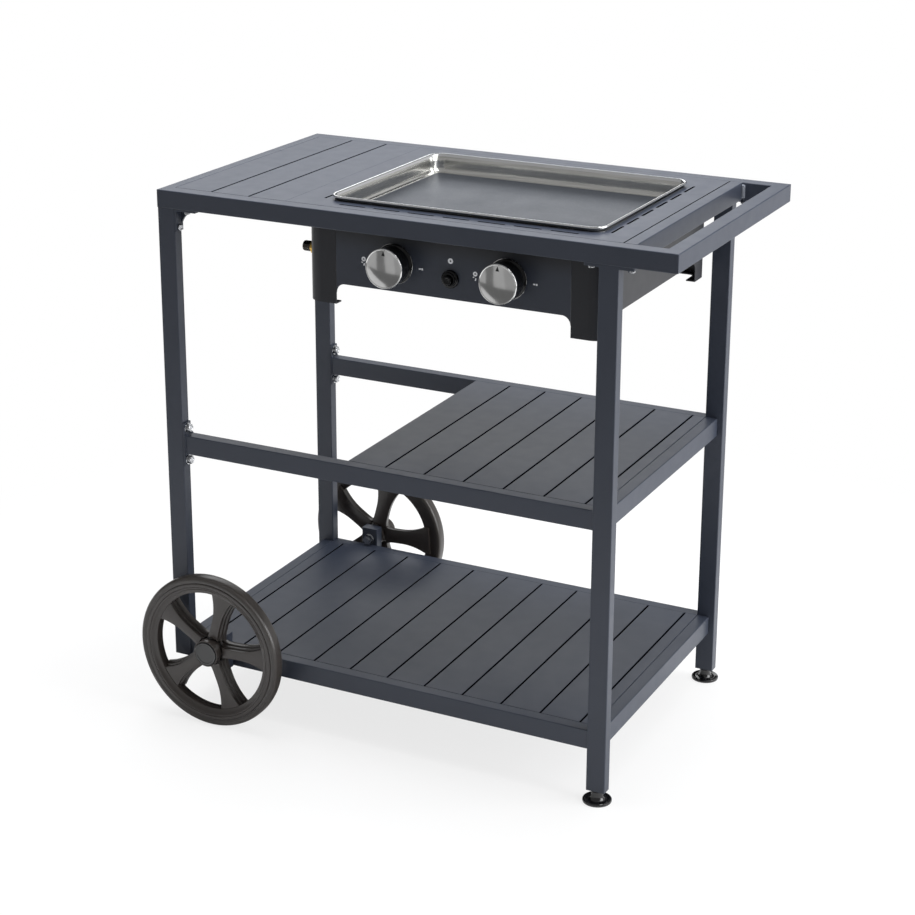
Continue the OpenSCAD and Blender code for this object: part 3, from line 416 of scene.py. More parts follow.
def turned(name, foot, axis, profile, steps=64, way=1):
    """Turns a profile of (radius, distance along the axis) pairs, in millimetres, round an axis at foot."""
    along = AXES[axis] * way
    across = AXES["Z"] if axis != "Z" else AXES["X"]
    spots = [foot + along * (far * MM) + across * (out * MM) for out, far in profile]
    piece = traced(spots)
    bpy.ops.mesh.spin(steps=steps, angle=2 * math.pi, center=foot, axis=along)
    face_outwards()
    end_edit()
    settle(piece, name)
    soften(piece)
    return piece


def joined(name, pieces):
    pick(*pieces)
    bpy.ops.object.join()
    pieces[0].name = name
    pieces[0].data.name = name
    return pieces[0]


def copied(piece, name):
    """Copy of a piece with a mesh of its own."""
    pick(piece)
    bpy.ops.object.duplicate()
    return settle(bpy.context.object, name)


def turn_about(centre, axis, angle):
    return Matrix.Translation(centre) @ Matrix.Rotation(angle, 4, axis) @ Matrix.Translation(-centre)


def turned_copy(piece, centre, axis, angle):
    """Copy of a piece turned about an axis through centre."""
    made = copied(piece, "copy")
    made.matrix_world = turn_about(centre, axis, angle)
    return settle(made, "copy")


def mirrored_to_back(piece, name):
    """Copy of a front piece on the back of the cart."""
    made = copied(piece, name)
    made.scale = (1, -1, 1)
    settle(made, name)
    start_edit(made)
    choose_all()
    bpy.ops.mesh.normals_make_consistent(inside=False)
    end_edit()
    return made


def dress(piece, material, body, slot, *nodes):
    """Gives a piece its finish and its body, and hides any CAD nodes that it stands for. The slot is not
    used.
    """
    piece.data.materials.clear()
    piece.data.materials.append(material)
    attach(piece, body)
    if nodes:
        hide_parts(*nodes)


# Finishes

finishes = {
    "frame_paint": powder_coat("frame_powder_coat", (46, 51, 62), (54, 59, 71), 0.42, 0.00002),
    # Painted highlight: the weld beads' coat is made far lighter than the frame paint that covers them
    "weld_paint_and_highlight": powder_coat("weld_coat_painted_highlight", (84, 89, 99), (132, 136, 145), 0.22, 0.00003),
    "housing_paint": powder_coat("housing_powder_coat", (32, 33, 37), (39, 40, 45), 0.4, 0.00002, 0.35),
    "panel_paint_and_painted_shade": panel_coat_and_shade(),
    # Near-black matte of the strips that paint shade into the surround's seam, the vents and the board gaps
    "painted_shade_black": powder_coat("painted_shade_matte", (8, 8, 10), (13, 13, 15), 0.8, 0.00001, 0.0),
    "igniter_plastic": moulded_plastic("igniter_plastic", (4, 4, 6), (8, 8, 10), 0.14, 0.000002, 0.2, 0.2),
    "dark_chrome": plated_metal("dark_chrome", (104, 101, 96), (126, 123, 118), 0.12, 0.05),
    "zinc": plated_metal("zinc_plate", (160, 162, 166), (205, 206, 208), 0.1, 0.1),
    "wheel_plastic": moulded_plastic("wheel_plastic", (50, 45, 43), (58, 53, 50), 0.3, 0.00001),
    "tyre_rubber": moulded_plastic("tyre_rubber", (50, 46, 44), (58, 54, 51), 0.32, 0.00001),
    "black_plastic": moulded_plastic("black_plastic", (9, 9, 11), (15, 15, 17), 0.18, 0.000004, 0.4),
    "stainless": griddle_steel(),
    "chrome": plated_metal("chrome_plate", (200, 200, 200), (215, 215, 214), 0.06, 0.04),
    "brass": plated_metal("turned_brass", (190, 150, 70), (215, 180, 100), 0.2, 0.12, (0.2, 1, 1)),
    "ceramic": moulded_plastic("ceramic", (200, 196, 186), (215, 211, 202), 0.35, 0.00001),
    "ink": white_ink(),
}

NODE_FINISH = {
    "housing_left": "housing_paint", "housing_right": "housing_paint", "housing_back": "housing_paint",
    "control_panel": "panel_paint_and_painted_shade", "tray_supports": "zinc", "burners": "stainless",
    "burner_carriers": "zinc", "manifold": "zinc", "gas_inlet": "brass", "gas_valves": "brass",
    "spindle_left": "zinc", "spindle_right": "zinc", "electrodes": "ceramic", "leg_plugs": "black_plastic",
    "axles": "zinc", "axle_nuts": "zinc",
}
for node_name, node_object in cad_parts.items():
    node_object.data.materials.clear()
    node_object.data.materials.append(finishes[NODE_FINISH.get(node_name, "frame_paint")])


# Wheels

RIM_R = 119.3
OPENING_R = 101.3
HUB_R = 22.5
SPOKE_COUNT = 5
SPOKE_LEAN = math.radians(15)


def spoke():
    """One spoke of the front wheel, upright over the axle: a waisted box that steps in twice to its face."""
    low = HUB_R - 4
    high = OPENING_R + 9
    flare_start = 50
    root_end = 34
    rows = 16
    centre = at(AXLE_X, -24, AXLE_Z + (low + high) / 2)
    bpy.ops.mesh.primitive_grid_add(x_subdivisions=2, y_subdivisions=rows, size=1, location=centre,
                                    rotation=(math.radians(90), 0, 0))
    piece = bpy.context.object
    piece.scale = (0.026, (high - low) * MM, 1)
    bpy.ops.object.transform_apply(location=True, rotation=True, scale=True)
    start_edit(piece)
    for row in range(rows + 1):
        out = low + (high - low) * row / rows
        flare = max(0.0, (min(out, OPENING_R) - flare_start) / (OPENING_R - flare_start)) ** 2.2
        root = max(0.0, (root_end - out) / 14) ** 2
        height = centre.z + (out - (low + high) / 2) * MM
        choose(lambda v: abs(v.co.z - height) < 0.0005)
        bpy.ops.transform.resize(value=(1 + 0.95 * flare + 0.25 * root, 1, 1), center_override=centre)
    choose_all()
    for depth, step in ((8, 2.6), (6, 2.6), (6, 0)):
        extrude_by((0, -depth * MM, 0))
        if step:
            bpy.ops.mesh.inset(thickness=step * MM, use_boundary=True)
    face_outwards()
    end_edit()
    settle(piece, "spoke")
    modify(piece, "BEVEL", width=0.0009, segments=2, limit_method="ANGLE", angle_limit=math.radians(40))
    return piece


def front_wheel():
    axle = at(AXLE_X, 0, AXLE_Z)
    rim = turned("rim", axle, "Y", [
        (OPENING_R, 30), (OPENING_R + 1.5, 29), (RIM_R, 29), (RIM_R, 49.5), (118.8, 50.6), (117.8, 50.9),
        (114.2, 50.9), (113.4, 50.5), (113.0, 49.8), (112.6, 50.1), (111.6, 50.2), (110.4, 49.8),
        (108.4, 47.6), (106.4, 46.2), (103.0, 45.3), (101.9, 44.8), (OPENING_R, 43.8), (OPENING_R, 30),
    ], 128, -1)
    hub = turned("hub", axle, "Y", [
        (5.2, 19.3), (15.5, 19.3), (16.5, 20.3), (17.5, 30), (20, 38), (21.6, 43), (HUB_R, 45),
        (HUB_R, 55.6), (22.3, 56.5), (21.8, 57), (20.8, 57), (20.3, 56.5), (20.1, 48), (5.2, 48), (5.2, 19.3),
    ], 64, -1)
    first = spoke()
    spokes = [first]
    for turn in range(1, SPOKE_COUNT):
        spokes.append(turned_copy(first, axle, "Y", turn * math.tau / SPOKE_COUNT))
    wheel = joined("wheel", [rim, hub, *spokes])
    # The photographed wheel stands with one spoke a little past upright
    wheel.matrix_world = turn_about(axle, "Y", SPOKE_LEAN)
    settle(wheel, "wheel_front_casting")
    soften(wheel, 34)
    return wheel


def front_tyre():
    return turned("tyre_front_ring", at(AXLE_X, 0, AXLE_Z), "Y", [
        (RIM_R + 0.1, 27.8), (121, 27.6), (124.5, 27.5), (127.6, 28.5), (129.4, 30.6), (130.1, 33.4),
        (130.3, 36), (130.3, 43), (130.1, 45.6), (129.3, 48.4), (127.4, 50.6), (124.8, 51.4),
        (122.6, 51.4), (121.9, 51.1), (121.3, 50.5), (120.2, 50.4), (RIM_R + 0.1, 50.0),
        (RIM_R + 0.1, 27.8),
    ], 160, -1)


def front_cap():
    return turned("hub_cap_front_disc", at(AXLE_X, 0, AXLE_Z), "Y", [
        (0, 57.2), (12, 57.2), (15.6, 57.3), (16.2, 57.9), (18.8, 58.3), (19.6, 57.8), (19.8, 56.8),
        (19.8, 48), (17.3, 48), (17.3, 52.5), (0, 52.5),
    ], 64, -1)


wheel_front = front_wheel()
tyre_front = front_tyre()
cap_front = front_cap()
wheel_parts = (
    (wheel_front, "wheel_plastic", "wheel_front", "wheel_back"),
    (tyre_front, "tyre_rubber", "tyre_front", "tyre_back"),
    (cap_front, "black_plastic", "hub_cap_front", "hub_cap_back"),
)
for piece, slot, front_node, back_node in wheel_parts:
    other = mirrored_to_back(piece, piece.name.replace("front", "back"))
    dress(piece, finishes[slot], "wheel_front", slot, front_node)
    dress(other, finishes[slot], "wheel_back", slot, back_node)


# Levelling feet

def front_pad():
    return turned("foot_front_pad", at(FOOT_X, FOOT_Y, 0), "Z", [
        (0, 0), (21.4, 0), (22.4, 0.4), (22.8, 1.4), (22.8, 3.0), (22.3, 4.2), (21.3, 4.9), (20.1, 4.9),
        (18.6, 4.2), (16.5, 3.7), (14, 4.0), (12, 5.2), (10.6, 7.4), (9.6, 10.4), (9.1, 14), (9.0, 17.6),
        (8.2, 18.8), (6.5, 19.0), (4.2, 19.0), (4.1, 3.5), (0, 3.5),
    ], 72)


def front_stud():
    """Threaded stud: its profile rises and falls once for each turn of the thread."""
    pitch = 1.25
    turns = 38
    profile = [(0, 3.8), (3.2, 3.8)]
    for turn in range(turns):
        low = 4.2 + turn * pitch
        profile += [(3.35, low), (3.95, low + 0.45 * pitch), (3.95, low + 0.6 * pitch)]
    profile += [(3.3, 53.0), (0, 53.6)]
    return turned("foot_front_thread", at(FOOT_X, FOOT_Y, 0), "Z", profile, 32)


foot_parts = ((front_pad(), "black_plastic", "foot_pad"), (front_stud(), "zinc", "foot_stud"))
for piece, slot, node in foot_parts:
    other = mirrored_to_back(piece, piece.name.replace("front", "back"))
    dress(piece, finishes[slot], node + "_front", slot, node + "_front")
    dress(other, finishes[slot], node + "_back", slot, node + "_back")


# Knobs

def knob_face(x):
    """Chrome cap of a knob: a slightly crowned mirror inside a round bright rim."""
    return turned("face", at(x, 0, KNOB_Z), "Y", [
        (0, -9.7), (6, -9.65), (12, -9.5), (18, -9.22), (23, -8.88), (27, -8.52), (28.4, -8.4),
        (28.8, -8.7), (29.3, -9.0), (29.8, -8.95), (30.5, -8.4), (30.9, -7.5), (31, -6.6), (31, -5.6),
        (30.4, -5.1), (29.2, -5.0), (0, -5.0),
    ], 96)


def knob_skirt(x):
    return turned("skirt", at(x, 0, KNOB_Z), "Y", [
        (0, -4.98), (29.4, -4.98), (29.4, -3), (28.9, 0), (28.6, 6), (28.8, 12), (29.4, 16.6), (29.4, 18.0),
        (28.9, 18.5), (26.5, 18.5), (26.5, -2), (6, -2), (6, 18), (3.1, 18), (3.1, -1.9), (0, -1.9),
    ], 96)


def pointer(x):
    """Small black triangle let into a knob's face."""
    place = at(x, -9.3, KNOB_Z + 22.3)
    bpy.ops.mesh.primitive_circle_add(vertices=3, radius=0.0041, fill_type="NGON", location=place,
                                      rotation=(math.radians(90), 0, 0))
    piece = bpy.context.object
    piece.scale = (0.85, 1.15, 1)
    bpy.ops.object.transform_apply(location=True, rotation=True, scale=True)
    thicken(piece, 0.0008)
    modify(piece, "BEVEL", width=0.0001, segments=1)
    return piece


def bezel(x):
    """Black ring behind a knob."""
    return turned("ring", at(x, 0, KNOB_Z), "Y", [
        (30.4, 27), (30.4, 25.4), (30.0, 25.0), (28.6, 24.4), (27.2, 23.6), (25.8, 22.6), (22.2, 22.2),
        (22.0, 22.5), (22.0, 27), (30.4, 27),
    ], 96)


def bezel_line(x):
    """Fine bright line round the black ring."""
    return turned("ridge", at(x, 0, KNOB_Z), "Y", [
        (31.3, 25.5), (31.26, 25.1), (31.1, 24.9), (30.6, 24.9), (30.44, 25.1), (30.4, 25.5), (31.3, 25.5),
    ], 96)


bezels = []
bezel_lines = []
for x, side in zip(KNOB_X, ("left", "right")):
    body = "knob_" + side
    face = knob_face(x)
    face.name = body + "_mirror"
    dress(face, finishes["chrome"], body, "chrome", "knob_face_" + side)
    skirt = knob_skirt(x)
    skirt.name = body + "_skirt"
    dress(skirt, finishes["black_plastic"], body, "black_plastic", "knob_" + side)
    mark = pointer(x)
    mark.name = body + "_pointer"
    dress(mark, finishes["black_plastic"], body, "black_plastic")
    bezels.append(bezel(x))
    bezel_lines.append(bezel_line(x))
rings = joined("knob_ring_set", bezels)
dress(rings, finishes["igniter_plastic"], "frame", "black_plastic", "knob_bezels")
dress(joined("knob_ring_lines", bezel_lines), finishes["chrome"], "frame", "chrome")


# Igniter

igniter = turned("igniter_collar", at(HOB_X, 0, IGNITER_Z), "Y", [
    (7.1, 44), (7.1, 20), (7.6, 19.2), (8.4, 19.0), (9.9, 19.0), (10.7, 19.4), (11, 20.2), (11, 21.6),
    (11.4, 22.1), (12.2, 22.3), (13.0, 22.8), (13.6, 23.6), (13.9, 24.6), (14, 26.6), (13.7, 27), (9, 27),
    (9, 28.5), (10, 28.5), (10, 49.6), (9.6, 50), (0, 50), (0, 46.2), (7.1, 46.2),
], 64)
dress(igniter, finishes["igniter_plastic"], "frame", "black_plastic", "igniter_body")
button = turned("igniter_push", at(HOB_X, 0, IGNITER_Z), "Y", [
    (0, 14.5), (3.2, 14.5), (3.8, 14.1), (5.6, 14.0), (6.4, 14.3), (6.9, 15.0), (7, 16), (7, 39.4),
    (6.6, 40), (0, 40),
], 48)
dress(button, finishes["igniter_plastic"], "igniter_button", "black_plastic", "igniter_button")


# Griddle tray

def griddle_tray():
    """Pressed tray: rounded plan, rolled rim, walls and floor radius all made by insets from the rim."""
    width = 456.0
    depth = 359.0
    rim_z = 885.4
    floor_z = 856.4
    bpy.ops.mesh.primitive_plane_add(size=1, location=at(HOB_X, HOB_Y, rim_z))
    piece = bpy.context.object
    piece.scale = (width * MM, depth * MM, 1)
    bpy.ops.object.transform_apply(location=True, rotation=True, scale=True)
    start_edit(piece)
    choose_all()
    bpy.ops.mesh.bevel(offset=0.025, segments=14, affect="VERTICES")
    choose(lambda f: True, "faces")
    lip = [(0, 0.9), (0.3, 0.9), (0.7, 0.6), (1.0, 0.2), (0.9, -0.2), (0.9, -0.6), (0.8, -1.0)]
    flare = [(0.9, -2.2), (0.8, -2.4), (0.6, -2.5), (0.3, -2.0)]
    wall = [(0.12, -3.4)] * 4
    corner = [(0.3, -1.9), (0.9, -1.8), (1.4, -1.6), (1.8, -1.2), (2.0, -0.8), (2.3, -0.4), (2.2, -0.1)]
    path = lip + flare + wall + corner
    # The first step of the wall takes up what is left of the depth
    left_over = rim_z + sum(rise for inward, rise in path) - floor_z
    first = len(lip + flare)
    path[first] = (path[first][0], path[first][1] - left_over)
    for inward, rise in path:
        bpy.ops.mesh.inset(thickness=inward * MM, depth=rise * MM, use_even_offset=True)
    choose_all()
    bpy.ops.mesh.remove_doubles(threshold=5 * JOIN_DISTANCE)
    end_edit()
    settle(piece, "griddle_tray_pressing")
    return piece


tray = griddle_tray()
modify(tray, "SOLIDIFY", thickness=0.0016, offset=-1, use_even_offset=True)
soften(tray, 40)
dress(tray, finishes["stainless"], "griddle_tray", "stainless", "griddle_tray")


# Bolts

def hex_head(spot, axis, way, radius, height, washer_r=0.0):
    """Hexagon head, its underside at spot, with a hollow top and any washer under it."""
    pieces = []
    washer_t = 1.5 if washer_r else 0.0
    if washer_r:
        edge = 0.3
        pieces.append(turned("washer", spot, axis, [
            (0, 0), (washer_r - edge, 0), (washer_r, edge), (washer_r, washer_t - edge),
            (washer_r - edge, washer_t), (0, washer_t),
        ], 32, way))
    turn = {"X": (0, math.radians(90 * way), 0), "Y": (math.radians(-90 * way), 0, 0),
            "Z": (0 if way > 0 else math.pi, 0, 0)}[axis]
    along = AXES[axis] * way
    bpy.ops.mesh.primitive_cylinder_add(vertices=6, radius=radius * MM, depth=height * MM, rotation=turn,
                                        location=spot + along * ((washer_t + height / 2) * MM))
    head = bpy.context.object
    bpy.ops.object.transform_apply(location=True, rotation=True, scale=True)
    start_edit(head)
    choose(lambda f: f.normal.dot(along) > 0.9, "faces")
    bpy.ops.mesh.inset(thickness=radius * 0.12 * MM, depth=0.5 * MM)
    bpy.ops.mesh.inset(thickness=radius * 0.2 * MM)
    bpy.ops.mesh.inset(thickness=radius * 0.08 * MM, depth=-0.4 * MM)
    face_outwards()
    end_edit()
    modify(head, "BEVEL", width=0.00025, segments=2, limit_method="ANGLE", angle_limit=math.radians(30))
    pieces.append(head)
    return pieces


def shank(spot, axis, way, radius, length):
    return turned("shank", spot, axis, [
        (0, 0), (radius, 0), (radius, length - 0.8), (radius - 0.8, length), (0, length),
    ], 24, way)


def bolt(spot, axis, way, head, shaft, washer_r=0.0):
    """Head and shank of a bolt, each given by its radius and its length."""
    radius, length = shaft
    return [*hex_head(spot, axis, way, *head, washer_r), shank(spot, axis, -way, radius, length)]


END_PLATE_X = 34.6
LEG_MIDDLE_Y = 10.1
BRACKET_MIDDLE_Y = 7.6
TOP_HEAD = (5.5, 4.0)
TOP_SHAFT = (3.0, 16)

shelf_parts = []
for z in (434.75, 488.75):
    shelf_parts += bolt(at(END_PLATE_X, LEG_MIDDLE_Y, z), "X", 1, (7.0, 5.5), (4.0, 10.6), 8.5)
front_shelf = joined("shelf_bolt_front", shelf_parts)
soften(front_shelf, 30)
back_shelf = mirrored_to_back(front_shelf, "shelf_bolt_back")
shelf_bolts = joined("shelf_bolt_heads", [front_shelf, back_shelf])
dress(shelf_bolts, finishes["zinc"], "frame", "zinc", "shelf_bolts")

top_parts = []
for spot in (at(732.5, 10.6, 847.0), at(794.5, 10.6, 847.0), at(50.6, BRACKET_MIDDLE_Y, 848.5)):
    top_parts += bolt(spot, "Z", -1, TOP_HEAD, TOP_SHAFT)
top_parts += bolt(at(END_PLATE_X, BRACKET_MIDDLE_Y, 821.5), "X", 1, TOP_HEAD, TOP_SHAFT)
front_top = joined("top_bolt_front", top_parts)
soften(front_top, 30)
back_top = mirrored_to_back(front_top, "top_bolt_back")
top_bolts = joined("top_bolt_heads", [front_top, back_top])
dress(top_bolts, finishes["zinc"], "frame", "zinc", "leg_top_bolts")


# Gas inlet

INLET_Y = 60
INLET_BORE = 5.0


def inlet_thread():
    pitch = 1.8
    turns = 7
    length = 14.2
    thread = [(INLET_BORE, 0), (7.6, 0)]
    for turn in range(turns):
        low = 0.8 + turn * pitch
        thread += [(7.5, low), (8.25, low + 0.8), (8.25, low + 1.1)]
    thread += [(7.4, length - 0.8), (7.4, length), (INLET_BORE, length), (INLET_BORE, 0)]
    return turned("gas_inlet_thread", at(231.5, INLET_Y, KNOB_Z), "X", thread, 40)


def inlet_nut():
    nut = hex_head(at(245.5, INLET_Y, KNOB_Z), "X", 1, 10.6, 6.4)
    neck = turned("neck", at(252.0, INLET_Y, KNOB_Z), "X", [
        (INLET_BORE, 0), (8, 0), (8, 9.5), (INLET_BORE, 9.5), (INLET_BORE, 0),
    ], 40)
    return joined("gas_inlet_nut", [*nut, neck])


inlet = inlet_nut()
soften(inlet, 35)
dress(inlet, finishes["brass"], "frame", "brass", "gas_inlet")
dress(inlet_thread(), finishes["dark_chrome"], "frame", "brass")


# Marks on the control panel

INK_Y = PANEL_Y - 0.05
INK_DEPTH = 0.00007


def flat_ring(x, z, radius, inner):
    """Thin printed ring on the panel's face."""
    bpy.ops.mesh.primitive_circle_add(vertices=32, radius=radius * MM, fill_type="NGON",
                                      location=at(x, INK_Y, z), rotation=(math.radians(90), 0, 0))
    piece = settle(bpy.context.object, "print")
    start_edit(piece)
    choose_all()
    bpy.ops.mesh.inset(thickness=(radius - inner) * MM)
    bpy.ops.mesh.delete(type="FACE")
    end_edit()
    return thicken(piece, INK_DEPTH)


def flat_bar(x, z, width, height, angle=0.0):
    """Thin printed bar on the panel's face, turned by an angle in radians."""
    bpy.ops.mesh.primitive_plane_add(size=1, location=at(x, INK_Y, z), rotation=(math.radians(90), 0, 0))
    piece = bpy.context.object
    piece.scale = (width * MM, height * MM, 1)
    bpy.ops.object.transform_apply(location=False, rotation=False, scale=True)
    piece.rotation_euler = (math.radians(90), angle, 0)
    return thicken(settle(piece, "print"), INK_DEPTH)


def panel_marks():
    """A ring over the igniter, and beside each knob a small flame on its left and a dash on its right."""
    prints = [flat_ring(HOB_X, IGNITER_Z + 27.3, 4.3, 1.5)]
    for x in KNOB_X:
        prints.append(flat_ring(x - 53.0, KNOB_Z + 0.6, 3.6, 1.4))
        prints.append(flat_bar(x - 55.6, KNOB_Z - 4.6, 2.6, 1.5, 0.4))
        prints.append(flat_bar(x - 52.2, KNOB_Z - 7.6, 1.9, 4.2, 0.25))
        prints.append(flat_bar(x + 42.6, KNOB_Z - 3.0, 3.6, 2.2))
        prints.append(flat_bar(x + 46.6, KNOB_Z - 3.2, 2.6, 3.0))
    return joined("panel_prints", prints)


dress(panel_marks(), finishes["ink"], "frame", "housing_paint")


# Weld beads

DROP_PITCH = 0.0018


def weld(name, stops, size):
    """Row of overlapping drops of metal along a line of points, as a welder lays them."""
    drops = []
    for here, there in zip(stops, stops[1:]):
        count = max(2, round((there - here).length / DROP_PITCH))
        for step in range(count):
            spot = here.lerp(there, step / count)
            bpy.ops.mesh.primitive_uv_sphere_add(segments=12, ring_count=7, radius=size, location=spot)
            drop = bpy.context.object
            along = (there - here).normalized()
            drop.scale = tuple(0.55 + 0.45 * (1 - abs(c)) for c in along)
            drops.append(settle(drop, "drop"))
    made = joined(name, drops)
    soften(made, 80)
    return made


def dress_pair(piece, back_name, paint):
    """Dresses a front piece of the frame's metal and its mirror image on the back."""
    for made in (piece, mirrored_to_back(piece, back_name)):
        dress(made, finishes[paint], "frame", "frame_paint")


PLATE_FACE_X = 35.2
SHELF_RAIL_LOW = 446.6
SHELF_RAIL_HIGH = 477.0

bead = weld("end_plate_weld_front", [
    at(PLATE_FACE_X, 2.4, SHELF_RAIL_LOW), at(PLATE_FACE_X, 22.0, SHELF_RAIL_LOW),
    at(PLATE_FACE_X, 22.0, SHELF_RAIL_HIGH), at(PLATE_FACE_X, 2.4, SHELF_RAIL_HIGH),
    at(PLATE_FACE_X, 2.4, SHELF_RAIL_LOW),
], 0.0026)
dress_pair(bead, "end_plate_weld_back", "frame_paint")


def plate_fillets():
    """Hollow fillets between an end plate and its rail, above and below the rail."""
    back_x = END_PLATE_X + 0.05
    radius = 5.8
    end_x = back_x + 5.95
    front_y = 2.6
    steps = 8
    made = []
    for z, way in ((SHELF_RAIL_HIGH + 0.1, 1), (SHELF_RAIL_LOW - 0.2, -1)):
        spots = [at(back_x, front_y, z), at(end_x, front_y, z)]
        for step in range(1, steps):
            angle = math.radians(90 * step / steps)
            inward = radius * math.sin(angle)
            rise = radius - radius * math.cos(angle)
            spots.append(at(end_x - inward, front_y, z + way * rise))
        spots.append(at(back_x, front_y, z + way * radius))
        made.append(drawn_out("fillet", spots, Vector((0, 0.0192, 0))))
    fillets = joined("end_plate_fillet_front", made)
    soften(fillets, 30)
    return fillets


dress_pair(plate_fillets(), "end_plate_fillet_back", "frame_paint")


# Painted shade of the top and the shelves: black strips in the surround's seam, the vents and the gaps
# between boards

SEAM_Y = 25.8
SEAM_LENGTH = 443.4
VENT_PITCH = 58.5
VENT_ROW_SHIFT = 194.5
VENT_SIDE_SHIFT = 237.5
VENT_HALF_LENGTH = 20.5
VENT_R = 1.98
VENT_DEPTH = 0.0013
SLAT_GAP = 0.003

# Painted shade: a black strip in the shaded groove between the surround and the frame
seam_shade = drawn_out("surround_seam_painted_shade", [
    at(774.1, SEAM_Y, TOP_Z - 0.5), at(775.3, SEAM_Y, TOP_Z - 0.5),
    at(775.3, SEAM_Y, TOP_Z + 0.08), at(774.1, SEAM_Y, TOP_Z + 0.08),
], Vector((0, SEAM_LENGTH * MM, 0)))
dress(seam_shade, finishes["painted_shade_black"], "frame", "black_plastic")


def vent_shade_strip(x, y, turn):
    """Black strip round a vent slot's cut edge, as painted shade inside the slot."""
    steps = 8
    spots = []
    for side in (1, -1):
        for step in range(steps + 1):
            angle = math.radians(90 - 180 * step / steps)
            along = VENT_HALF_LENGTH + VENT_R * math.cos(angle)
            spots.append(Vector((side * along, side * VENT_R * math.sin(angle), 0)))
    corner = at(x, y, TOP_Z - 1.4)
    piece = traced_ring([corner + (Matrix.Rotation(turn, 3, "Z") @ spot) * MM for spot in spots])
    extrude_by((0, 0, VENT_DEPTH))
    face_outwards()
    end_edit()
    modify(piece, "SOLIDIFY", thickness=0.0001, offset=-1)
    return piece


# Painted shade: black strips inside every vent slot
vent_shade_strips = []
for side in (-1, 1):
    for step in range(7):
        vent_shade_strips.append(vent_shade_strip(HOB_X + (step - 3) * VENT_PITCH, HOB_Y + side * VENT_ROW_SHIFT, 0))
    for step in range(6):
        across = math.radians(90)
        vent_shade_strips.append(vent_shade_strip(HOB_X + side * VENT_SIDE_SHIFT, HOB_Y + (step - 2.5) * VENT_PITCH, across))
dress(joined("surround_vent_painted_shade", vent_shade_strips), finishes["painted_shade_black"], "frame", "black_plastic")


def gap_shade_strips(node):
    """Black strips on both sides of each gap between the boards of a deck, as painted shade in the gap."""
    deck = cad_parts[node]
    points = [deck.matrix_world @ vertex.co for vertex in deck.data.vertices]
    spots = sorted({round(point.x, 5) for point in points})
    low_y = min(point.y for point in points)
    high_y = max(point.y for point in points)
    high_z = max(point.z for point in points)
    strip = ((0.0001, -0.006), (0.0005, -0.006), (0.0005, -0.0003), (0.0001, -0.0003))
    made = []
    for here, there in zip(spots, spots[1:]):
        if abs(there - here - SLAT_GAP) < 0.0004:
            for edge, way in ((here, 1), (there, -1)):
                outline = [Vector((edge + way * x, low_y, high_z + z)) for x, z in strip]
                made.append(drawn_out("gap_shade_piece", outline, Vector((0, high_y - low_y, 0))))
    return made


# Painted shade: black strips in the gaps of all three decks
slat_shade_strips = gap_shade_strips("top_slats") + gap_shade_strips("mid_slats") + gap_shade_strips("low_slats")
dress(joined("slat_gap_painted_shade", slat_shade_strips), finishes["painted_shade_black"], "frame", "black_plastic")


# Welds of the handle's bay, on the inner side of the front rail

BAY_Y = 26.9

bay_beads = []
for x in (797.4, 841.6):
    bay_beads.append(weld("bead", [at(x, BAY_Y, 857.0), at(x, BAY_Y, 877.0)], 0.0041))
# The bay's beads take the weld coat with its painted highlight
dress_pair(joined("grip_bay_weld_front", bay_beads), "grip_bay_weld_back", "weld_paint_and_highlight")


# Studio

def add_light(name, place, target, size, power, shines=True):
    aim = (Vector(target) - Vector(place)).to_track_quat("-Z", "Y").to_euler()
    bpy.ops.object.light_add(type="AREA", location=place, rotation=aim)
    light = bpy.context.object
    light.name = name
    light.data.shape = "RECTANGLE"
    light.data.size = size[0]
    light.data.size_y = size[1]
    light.data.energy = power
    light.data.color = (0.98, 0.99, 1.0)
    light.visible_camera = False
    light.visible_glossy = shines


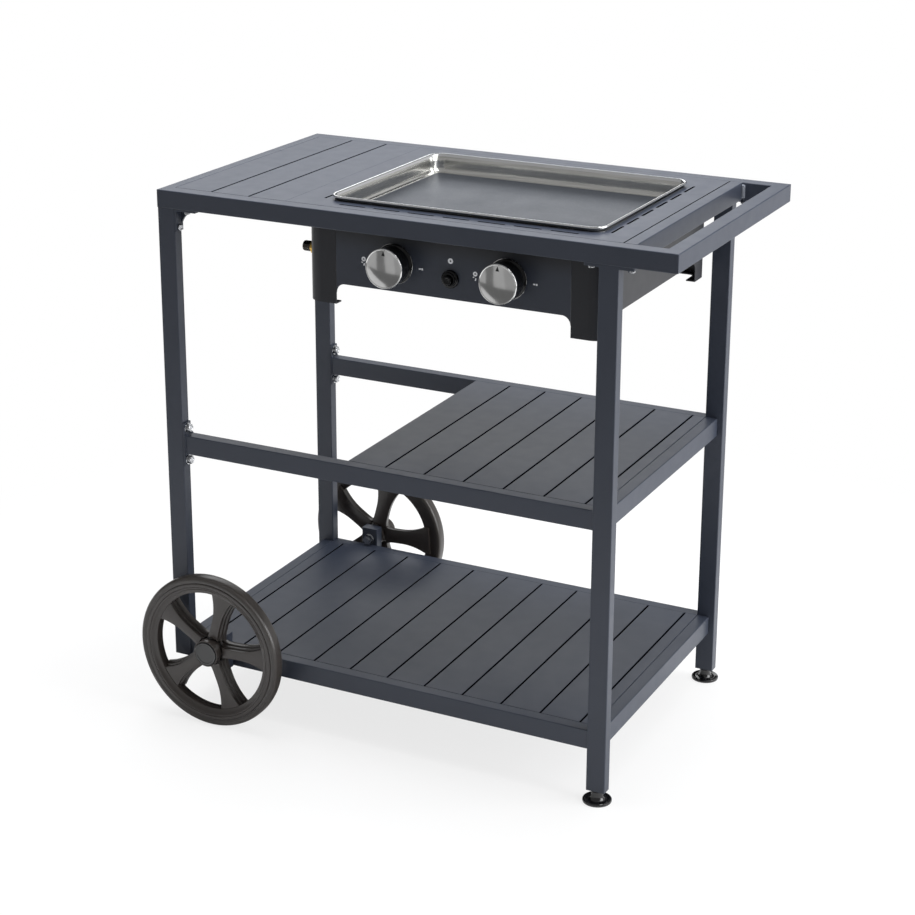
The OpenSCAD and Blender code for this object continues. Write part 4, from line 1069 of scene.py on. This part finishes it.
def add_floor():
    """Pale paper under and behind the cart, which the camera sees as white further out."""
    bpy.ops.mesh.primitive_plane_add(size=1, location=(0, 7.6, -0.0004))
    floor = bpy.context.object
    floor.name = "studio_floor"
    floor.scale = (24, 18, 1)
    bpy.ops.object.transform_apply(location=True, rotation=False, scale=True)
    material, f = new_finish("studio_paper")
    place = f.place()
    reach = f.add("ShaderNodeVectorMath", {"operation": "LENGTH"}, {0: place}, "Value")
    beyond = f.ramp(reach, 0.7, 1.35, 0.78, 1.0)
    seen = f.add("ShaderNodeLightPath", {}, {}, "Is Camera Ray")
    mirrored = f.add("ShaderNodeLightPath", {}, {}, "Is Glossy Ray")
    rear = f.ramp(f.part(place, 1), 0.3, 1.0)
    tint = f.shaded(f.noise(6, 2), (236, 236, 236), (240, 240, 240))
    paper = f.add("ShaderNodeBsdfDiffuse", {}, {"Color": tint})
    white = f.add("ShaderNodeEmission", {}, {"Color": (1, 1, 1, 1), "Strength": 1.0})
    mixed = f.add("ShaderNodeMixShader", {}, {0: (seen + mirrored * rear) * beyond, 1: paper, 2: white})
    f.add("ShaderNodeOutputMaterial", {}, {"Surface": mixed})
    floor.data.materials.append(material)


def add_world():
    """Room round the cart, white for the camera: wall and doorway in front, open at the back."""
    world = bpy.data.worlds.new("studio")
    bpy.context.scene.world = world
    world.use_nodes = True
    f = Finish(world.node_tree)
    ray = f.add("ShaderNodeTexCoord", {}, {}, "Generated")
    sideways = f.part(ray, 0)
    across = f.part(ray, 1)
    upward = f.part(ray, 2)
    behind = f.ramp(across, -0.2, 0.45)
    bearing = sideways / across
    fall = upward / across
    doorway = (bearing > 0.516) * (bearing < 0.635)
    wall = (0.5 - 0.3 * doorway - 0.12 * (bearing < 0.38)) * (fall > 0) + 0.34 * (fall < 0)
    ground = 0.16 + 0.6 * (fall + 0.632 * bearing > 0.855)
    low = fall > 0.335
    front = low * ground + (1 - low) * wall
    open_side = f.ramp(sideways, 0.1, 0.4, 0.0, 0.6)
    room = front * (1 - behind) + behind * open_side
    seen = f.add("ShaderNodeLightPath", {}, {}, "Is Camera Ray")
    level = room + seen * (1 - room)
    back = f.add("ShaderNodeBackground", {}, {"Color": (1, 1, 1, 1), "Strength": level})
    f.add("ShaderNodeOutputWorld", {}, {"Surface": back})


add_camera()
add_floor()
add_world()
add_light("side_softbox", (2.7, 0.2, 2.1), (0, 0, 0.5), (2.2, 1.6), 51)
add_light("side_low_softbox", (2.9, 0.3, 0.9), (0, 0, 0.45), (2.0, 1.4), 46)
add_light("top_softbox", (-0.2, 0.4, 2.9), (0, 0, 0.85), (2.4, 2.0), 105, shines=False)
add_light("back_softbox", (-1.65, 2.7, 2.4), (0, 0, 0.85), (2.8, 1.6), 33)
add_light("spark_lamp", (1.4, -0.2, 2.9), (0.1, -0.1, 0.85), (0.6, 0.6), 6)
bpy.context.scene.view_settings.view_transform = "Standard"
